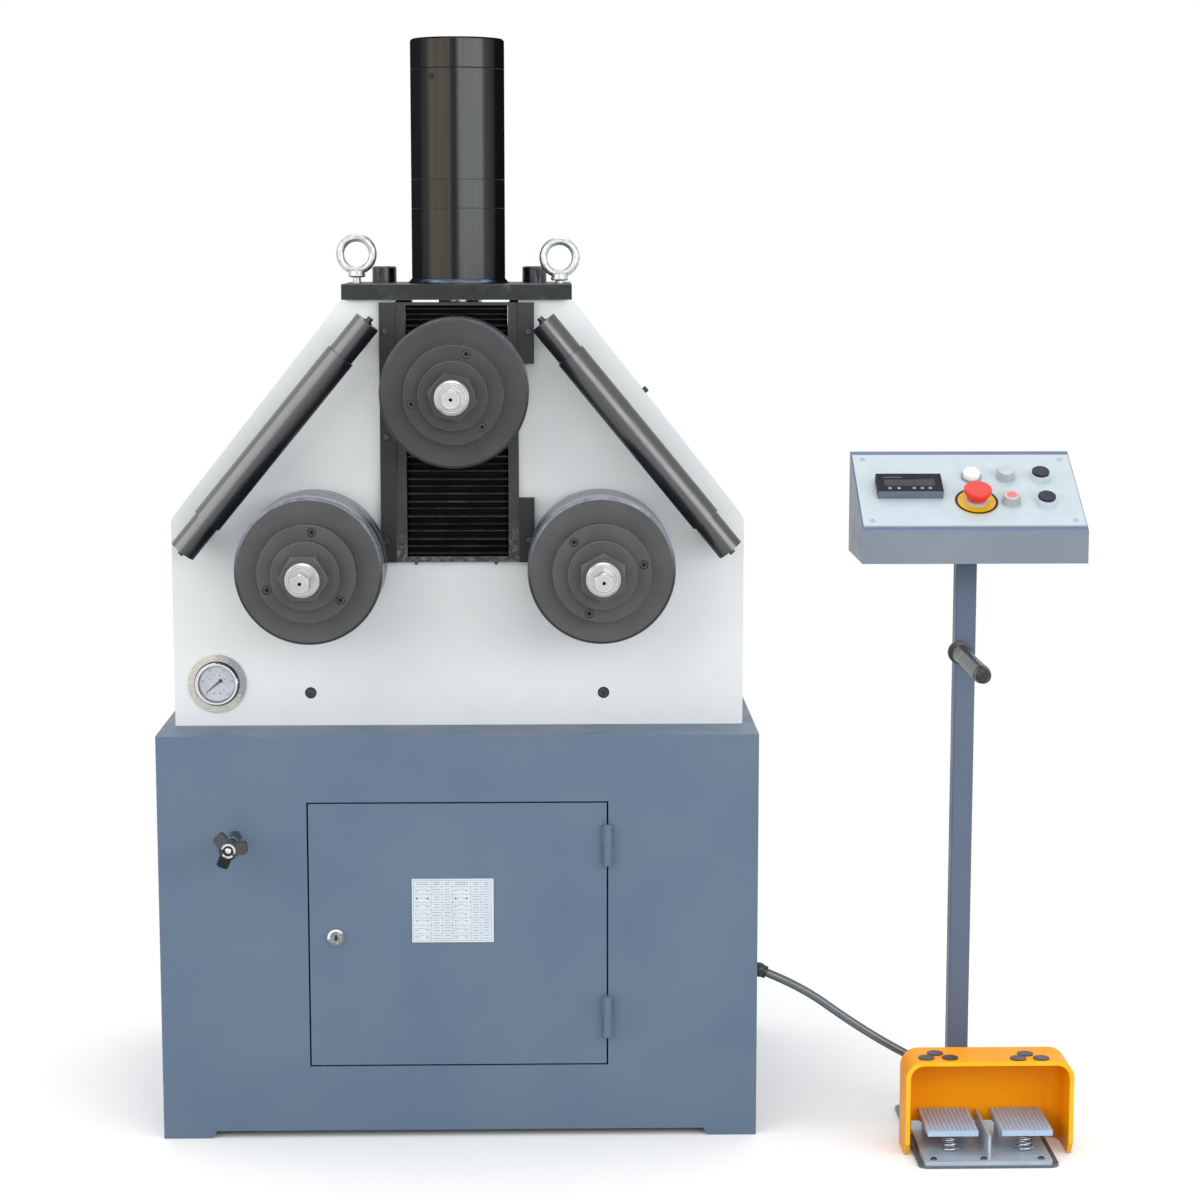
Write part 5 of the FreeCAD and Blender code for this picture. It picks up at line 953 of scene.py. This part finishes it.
# ---------------------------------------------------------------- finishes
def near_screws(centre, x, z, first):
    """Distance in mm, seen from the front, to the nearest of a roll's three disc screws."""
    spots = [compass(first + 120 * i) * SCREW_CIRCLE for i in range(3)]
    return min(off_axis(centre, x + spot.x, z + spot.y) for spot in spots)


def finish_rolls(shade_and_black):
    """Rolls and their shafts, each about its own axis."""
    side = roll_side()
    socket = metal("disc_screws", (62, 64, 67), (92, 95, 98), 0.3, 300.0, 0.1, 0.2, (170, 172, 174))
    for name, x, z, first in ROLLS:
        steel = roll_steel(name + "_roll_steel", x, z)
        bevel = roll_bevel(name + "_roll_bevel", z)
        end = bright_steel(name + "_shaft_steel", x, z)

        def of_roll(centre, normal):
            if off_axis(centre, x, z) > ROLL_FACE:
                return 4 if abs(normal.y) < 0.3 else 3
            depth = centre.y - DISC_FRONT
            if not 0.4 < depth < 14 or near_screws(centre, x, z, first) > SCREW_REACH:
                return 0
            # Round the disc screws, the screw heads take the socket metal and the counterbore walls a
            # painted shade.
            return 1 if depth < 2 and normal.y < -0.9 else 2

        def of_shaft(centre, normal):
            # The shaft's centre drilling takes a painted shade.
            return off_axis(centre, x, z) < 2.6 and centre.y < DISC_FRONT

        finish_node(name + "_roller_set", [steel, socket, shade_and_black, bevel, side], of_roll)
        finish_node(name + "_shaft", [end, shade_and_black], of_shaft)


def finish_controls():
    """Meter, buttons, lamp and stop button on the console."""
    meter = plastic("meter_plastic", (17, 20, 32), (23, 26, 38), 0.45, 0.2, 900.0, level=0.12)
    key = plastic("meter_keys", (122, 128, 142), (134, 140, 154), 0.35, 0.1)
    foot = plastic("meter_foot", (96, 105, 119), (106, 115, 129), 0.45, 0.2, 900.0)
    dark = plastic("dark_plastic", (20, 27, 42), (27, 34, 50), 0.3, 0.06, level=0.25)
    clear = plastic("clear_plastic", (160, 168, 171), (176, 183, 186), 0.24, 0.06)
    pink = plastic("stop_plastic", (166, 165, 169), (178, 176, 180), 0.24, 0.06)
    collar = plastic("stop_collar", (198, 184, 180), (206, 192, 188), 0.3, 0.06)
    pale = plastic("pale_bezels", (196, 204, 214), (208, 215, 224), 0.3, 0.06)
    rivet = metal("panel_screws", (168, 176, 181), (182, 189, 193), 0.4, 300.0, 0.1, 0.1, metallic=0.2)
    heart = plastic("stop_centre", (222, 104, 114), (228, 116, 124), 0.35, 0.06, level=0.2)
    white = plastic("lamp_white", (234, 236, 235), (242, 243, 242), 0.22, 0.05, 500.0, coat=0.3)
    grey = plastic("lamp_ring", (128, 135, 141), (140, 147, 152), 0.3, 0.06)
    yellow = plastic("stop_yellow", (206, 168, 26), (214, 176, 34), 0.4, 0.08, level=0.25)
    red = plastic("red_plastic", (222, 48, 40), (229, 57, 48), 0.3, 0.06, 500.0, level=0.3)
    crown = plastic("stop_crown", (206, 58, 52), (212, 67, 60), 0.4, 0.06, 500.0, level=0.3)
    rubber = plastic("black_plastic", (34, 35, 38), (42, 43, 46), 0.32, 0.15, 300.0)

    def of_meter(centre, normal):
        x, s, lift = panel_place(centre)
        if normal.dot(SLOPE) < -0.7 and lift < PANEL + METER_LIFT - 0.5:
            return 2
        return s < METER_S - 8 and lift > PANEL + METER_LIFT + 0.05

    finish_node("console_meter", [meter, key, foot], of_meter)

    def of_bezels(centre, normal):
        x, s, lift = panel_place(centre)
        first = abs(x - BUTTON_X[0]) < 35
        middle = (BUTTON_S[0] + BUTTON_S[1]) / 2
        if first and s < middle:
            away = math.hypot(x - BUTTON_X[0], s - BUTTON_S[0])
            return 4 if away < 16.2 or lift < PANEL - 0.1 else 1
        if first:
            away = math.hypot(x - BUTTON_X[0], s - BUTTON_S[1])
            return 2 if away < 12.6 and lift > PANEL + 2.5 else 3
        if BUTTON_X[0] < x < BUTTON_X[1] + 25:
            return 5
        return 0 if abs(x - BUTTON_X[2]) < 18 and BUTTON_S[0] - 18 < s < BUTTON_S[1] + 18 else 6

    finish_node("button_bezels", [pale, yellow, white, grey, collar, clear, rivet], of_bezels)
    finish_node("button_stop", [pink])
    spot = Print(on_panel(BUTTON_X[1], BUTTON_S[0], STOP_TOP), RIGHT, SLOPE)
    spot.disc((0, 0), 7.5, 40)
    spot.piece("stop_spot", heart, "stop_button", "stop_plastic")

    finish_node("estop_head", [red, crown], lambda centre, normal: panel_place(centre)[2] > 26.5)
    finish_node("button_start", [clear])
    finish_node("button_up", [dark])
    finish_node("button_down", [dark])
    finish_node("console_handle", [rubber])
    finish_node("cable_glands", [rubber])


def finish_knob(chrome):
    """Star knob with a chrome dome, a ring painted in light and dark patches as a painted reflection, and
    its lower lobes painted darker as painted shade, over the valve's nut.
    """
    black = plastic("knob_plastic", (20, 21, 24), (28, 29, 32), 0.28, 0.1, 300.0)
    lobe = plastic("knob_lobes", (56, 58, 63), (67, 69, 74), 0.42, 0.2, 300.0)
    low = plastic("knob_lobe_shade", (14, 18, 23), (22, 26, 31), 0.3, 0.2, 300.0, level=0.3)
    broken = Shader("knob_ring")
    # Painted reflection: the ring's chrome breaks into dark patches.
    share = broken.span(broken.noise(95.0, 2.0), 0.44, 0.52)
    broken.link(broken.mix(share, (34, 35, 38), (222, 224, 226)), "Base Color")
    broken.link(share, "Metallic")
    broken.link(broken.span(share, 0.0, 1.0, 0.3, 0.12), "Roughness")
    face = KNOB_FRONT + 0.6

    def of_knob(centre, normal):
        away = off_axis(centre, VALVE.x, VALVE.z)
        depth = centre.y
        if depth < face + 0.9 and away < 4.1:
            return 1
        if depth < face and normal.y < -0.5 and 7.4 < away < 10.7:
            return 3
        if away < 11.5 or depth > face + 6 and away < 14:
            return 0
        # Lower lobes take the darker colour: painted shade.
        return 4 if centre.z < VALVE.z - 9 else 2

    finish_node("flow_knob", [black, chrome, lobe, broken.material, low], of_knob)
    finish_node("flow_valve", [metal("valve_zinc", (60, 72, 80), (136, 146, 152), 0.24, 150.0)])


def finish_nodes():
    blue = ((93, 112, 135), (101, 118, 137), 0.40, (156, 168, 184))
    cabinet = painted("cabinet_paint", *blue, 0.35)
    # The door's edges take the lighter colour more strongly: a painted edge highlight along its seams.
    door = painted("door_paint", *blue, 0.8)
    pale = ((223, 228, 230), (229, 233, 234), 0.38, (178, 184, 187), 0.5)
    # The head: painted shade on faces that look up, and a painted lighter patch beside the left guide.
    head = painted("head_paint", *pale, top_shade=(213, 218, 220))
    console = painted("console_paint", (118, 129, 141), (127, 136, 146), 0.42, (176, 184, 194), 0.4)
    lip = painted("console_lip", (96, 111, 137), (103, 117, 141), 0.42, (168, 178, 196), 0.5)
    column = painted("column_paint", (90, 105, 127), (97, 110, 129), 0.42, (156, 166, 180), 0.5)
    motor = painted("motor_paint", (84, 96, 110), (96, 106, 118), 0.5, (140, 146, 150), 0.5)
    # The guard's edges turn yellow and its front-facing rim takes a yellower copy of the orange: painted
    # highlight.
    orange = painted("guard_orange", (254, 158, 0), (255, 165, 2), 0.4, (255, 186, 24), 0.8, 16.0, 0.12)
    guard_rim_highlight = painted("guard_rim", (252, 184, 24), (254, 192, 44), 0.4, patch=30.0, level=0.15)
    black = blackened("black_paint", (44, 45, 47), (52, 53, 55), 0.44, 0.4, (104, 106, 110), 0.7)
    guide = guide_black()
    plate = top_plate_paint()
    gloss = gloss_black()
    seam = blackened("cylinder_seam", (16, 16, 17), (26, 26, 27), 0.4, 0.2, (90, 92, 96), 0.2, 60.0)
    chrome = metal("chrome", (222, 224, 226), (234, 235, 236), 0.12, 30.0, 0.05, 0.04)
    zinc = metal("zinc", (176, 180, 182), (214, 217, 219), 0.38, 150.0, 0.14, 0.5, (230, 232, 233), 260.0)
    oxide = metal("black_screws", (58, 60, 64), (80, 82, 86), 0.32, 120.0, 0.1, 0.2, (160, 162, 166))
    steel = metal("bright_steel", (196, 197, 196), (214, 214, 212), 0.28, 80.0, 0.08, 0.12, (236, 236, 234))
    tray = brushed("tray_metal", (164, 180, 194), (180, 194, 206), 0.42, (1.0, 14.0, 1.0), 0.2)
    pads = brushed("aluminium", (160, 186, 214), (182, 206, 232), 0.52, (9.0, 1.0, 9.0), 0.1)
    dark_steel = metal(
        "base_metal", (88, 100, 112), (104, 115, 126), 0.45, 60.0, 0.1, 0.3, (150, 156, 164), 200.0, 0.4
    )
    chart = plastic("chart_metal", (204, 214, 222), (212, 221, 228), 0.4, 0.05)
    panel = plastic("panel_paint", (175, 188, 195), (183, 195, 202), 0.45, 0.12, 700.0)
    plug = plastic("rubber_plug", (52, 40, 46), (62, 48, 54), 0.4, 0.15, 300.0)
    flange = gauge_flange()
    case = plastic("gauge_case", (30, 31, 33), (38, 39, 41), 0.4, 0.1)
    ink = plastic("ink", (76, 82, 98), (86, 92, 108), 0.5, 0.02)
    arc_ink = plastic("arc_ink", (150, 157, 176), (160, 166, 184), 0.5, 0.02)
    hub = metal("hub_metal", (104, 108, 120), (128, 132, 142), 0.4, 120.0, 0.1, 0.1)
    dark_ink = plastic("needle_black", (20, 22, 27), (27, 29, 34), 0.5, 0.04, level=0.2)
    # Colour of the painted shadow round the dial's edge.
    border = plastic("dial_rim_shadow", (74, 78, 90), (90, 95, 108), 0.5, 0.02)
    dial = plastic("dial_white", (236, 240, 250), (241, 244, 252), 0.5, 0.03)
    screen = plastic("meter_screen", (62, 61, 72), (70, 68, 80), 0.5, 0.02, 300.0, level=0.1)
    label = plastic("meter_label", (84, 44, 56), (94, 52, 64), 0.4, 0.02)
    # Near-black: painted shade for recesses, and the port screw's own black.
    shade_and_black = plastic("recess_shade_black", (14, 14, 15), (20, 20, 21), 0.6, 0.1)
    pipe = metal("pipe_zinc", (168, 172, 172), (196, 199, 198), 0.3, 90.0, 0.1, 0.2, (220, 222, 221))

    plain = (
        (cabinet, "cabinet_shell"),
        (door, "cabinet_door"),
        (chart, "chart_plate"),
        (head, "front_plate rear_frame side_covers gear_cover"),
        (plate, "top_plate"),
        (zinc, "eye_bolts"),
        (gloss, "cylinder_barrel cylinder_heads"),
        (chrome, "piston_rod"),
        (black, "slide_block"),
        (steel, "upper_bearings main_bearings left_gear right_gear drive_pinion"),
        (guide, "guide_brackets guide_tube_left guide_tube_right"),
        (glass(), "gauge_lens"),
        (motor, "gear_motor"),
        (panel, "console_panel"),
        (pads, "pedal_left pedal_right"),
        (plug, "guard_plugs"),
        (pipe, "hydraulic_pipes"),
    )
    for material, names in plain:
        for name in names.split():
            finish_node(name, [material])

    rim = min(vertex.co.y for vertex in NODES["door_latch"].data.vertices) / MM

    def of_latch(centre, normal):
        if centre.y < rim + 0.3:
            return 1
        across, tall = abs(centre.x - LATCH.x), abs(centre.z - LATCH.z)
        return 2 if across < 3.3 and tall < 5.3 and centre.y < rim + 2.3 else 0

    finish_node("door_latch", [chrome, latch_face(), oxide], of_latch)

    def of_gauge(centre, normal):
        if centre.y > HEAD_FRONT + 0.1:
            return 2
        return off_axis(centre, GAUGE.x, GAUGE.z) > BEZEL / 2 + 0.1 and centre.y > HEAD_FRONT - 3.0

    finish_node("gauge_body", [chrome, flange, case], of_gauge)

    def of_guard(centre, normal):
        # Faces on the front of the arch's edge take the painted highlight.
        return normal.y < -0.6 and centre.y < GUARD_FRONT

    finish_node("pedal_guard", [orange, guard_rim_highlight], of_guard)

    def of_gibs(centre, normal):
        return abs(centre.x) < STRIP_INNER + 0.1

    finish_node("slide_gibs", [strip_black(), gib_steel()], of_gibs)

    def of_screws(centre, normal):
        return off_axis(centre, GAUGE.x, GAUGE.z) < 45

    finish_node("frame_screws", [oxide, zinc], of_screws)

    def of_equipment(centre, normal):
        return centre.z > EQUIPMENT_TOP

    finish_node("cabinet_equipment", [motor, dark_steel], of_equipment)

    def of_stand(centre, normal):
        if centre.z < CONSOLE_BOTTOM - 1:
            return 2
        return normal.dot(SLOPE_NORMAL) > 0.9 and panel_place(centre)[2] > -2

    finish_node("console_stand", [console, lip, column], of_stand)

    def of_pedal_base(centre, normal):
        near = min(math.hypot(centre.x - x, centre.y - y) for x, y in TRAY_SCREWS)
        if centre.z > TRAY_TOP and near < 5.2:
            return 2
        return centre.z < BASE_TOP

    finish_node("pedal_base", [tray, dark_steel, oxide], of_pedal_base)

    finish_rolls(shade_and_black)
    finish_controls()
    finish_knob(chrome)
    make_bellows()
    make_springs(chrome)
    make_gauge(ink, arc_ink, dial, dark_ink, hub, shade_and_black, border)
    make_chart(ink)
    make_cylinder_details(seam, shade_and_black)
    make_console_details(dark_ink, screen, label)


# ---------------------------------------------------------------- floor, light, world
def seen_rays(tree):
    """1 for camera, glossy and transmission rays, 0 for the light that falls on other things."""
    paths = tree.nodes.new("ShaderNodeLightPath").outputs
    value = paths["Is Camera Ray"]
    for key in ("Is Glossy Ray", "Is Transmission Ray"):
        either = tree.nodes.new("ShaderNodeMath")
        either.operation = "MAXIMUM"
        tree.links.new(value, either.inputs[0])
        tree.links.new(paths[key], either.inputs[1])
        value = either.outputs[0]
    return value


def make_floor():
    """White floor that keeps the shadows near the machine and is plain white further off."""
    shader = Shader("floor", Roughness=0.9, Specular_IOR_Level=0.0)
    seen = seen_rays(shader.tree)
    white = shader.mix(shader.noise(3.0, 2.0), (0.96, 0.96, 0.96, 1.0), (0.98, 0.98, 0.98, 1.0))
    shader.link(shader.mix(seen, FLOOR_BOUNCE, white), "Base Color")
    inputs = {"Vector": shader.place, "Location": (-0.15, 0.0, 0.0), "Scale": (0.7, 1.0, 1.0)}
    place = shader.add("ShaderNodeMapping", inputs).outputs["Vector"]
    share = shader.times(seen, shader.span(shader.vectors("LENGTH", place)["Value"], 0.5, 1.1))
    glow = shader.add("ShaderNodeEmission", {"Strength": 1.0})
    both = shader.add("ShaderNodeMixShader", {0: share, 1: shader.surface.outputs[0], 2: glow.outputs[0]})
    end = shader.tree.nodes["Material Output"]
    shader.tree.links.new(both.outputs[0], end.inputs["Surface"])
    mesh = bmesh.new()
    bmesh.ops.create_grid(mesh, x_segments=1, y_segments=1, size=20.0)
    data = bpy.data.meshes.new("floor")
    mesh.to_mesh(data)
    mesh.free()
    add_object("floor", data, shader.material, None)


def make_lamp(name, place, target, size, power, colour):
    data = bpy.data.lights.new(name, "AREA")
    data.shape = "RECTANGLE"
    data.size, data.size_y = size
    data.energy = power
    data.color = colour
    lamp = bpy.data.objects.new(name, data)
    bpy.context.collection.objects.link(lamp)
    lamp.location = place
    way = Vector(target) - Vector(place)
    lamp.rotation_euler = way.to_track_quat("-Z", "Y").to_euler()


def make_world():
    """White studio, a little dimmer as a light than it looks."""
    world = bpy.data.worlds.new("studio")
    bpy.context.scene.world = world
    world.use_nodes = True
    tree = world.node_tree
    background = tree.nodes["Background"]
    background.inputs["Color"].default_value = (1.0, 1.0, 1.0, 1.0)
    level = tree.nodes.new("ShaderNodeMapRange")
    level.inputs["To Min"].default_value = WORLD_LIGHT
    level.inputs["To Max"].default_value = 1.0
    tree.links.new(seen_rays(tree), level.inputs["Value"])
    tree.links.new(level.outputs["Result"], background.inputs["Strength"])


def main():
    make_camera()
    make_conduit(conduit_sheath())
    finish_nodes()
    make_floor()
    make_world()
    for name, settings in LAMPS.items():
        make_lamp(name, *settings)
    bpy.context.scene.view_settings.view_transform = "Standard"


main()
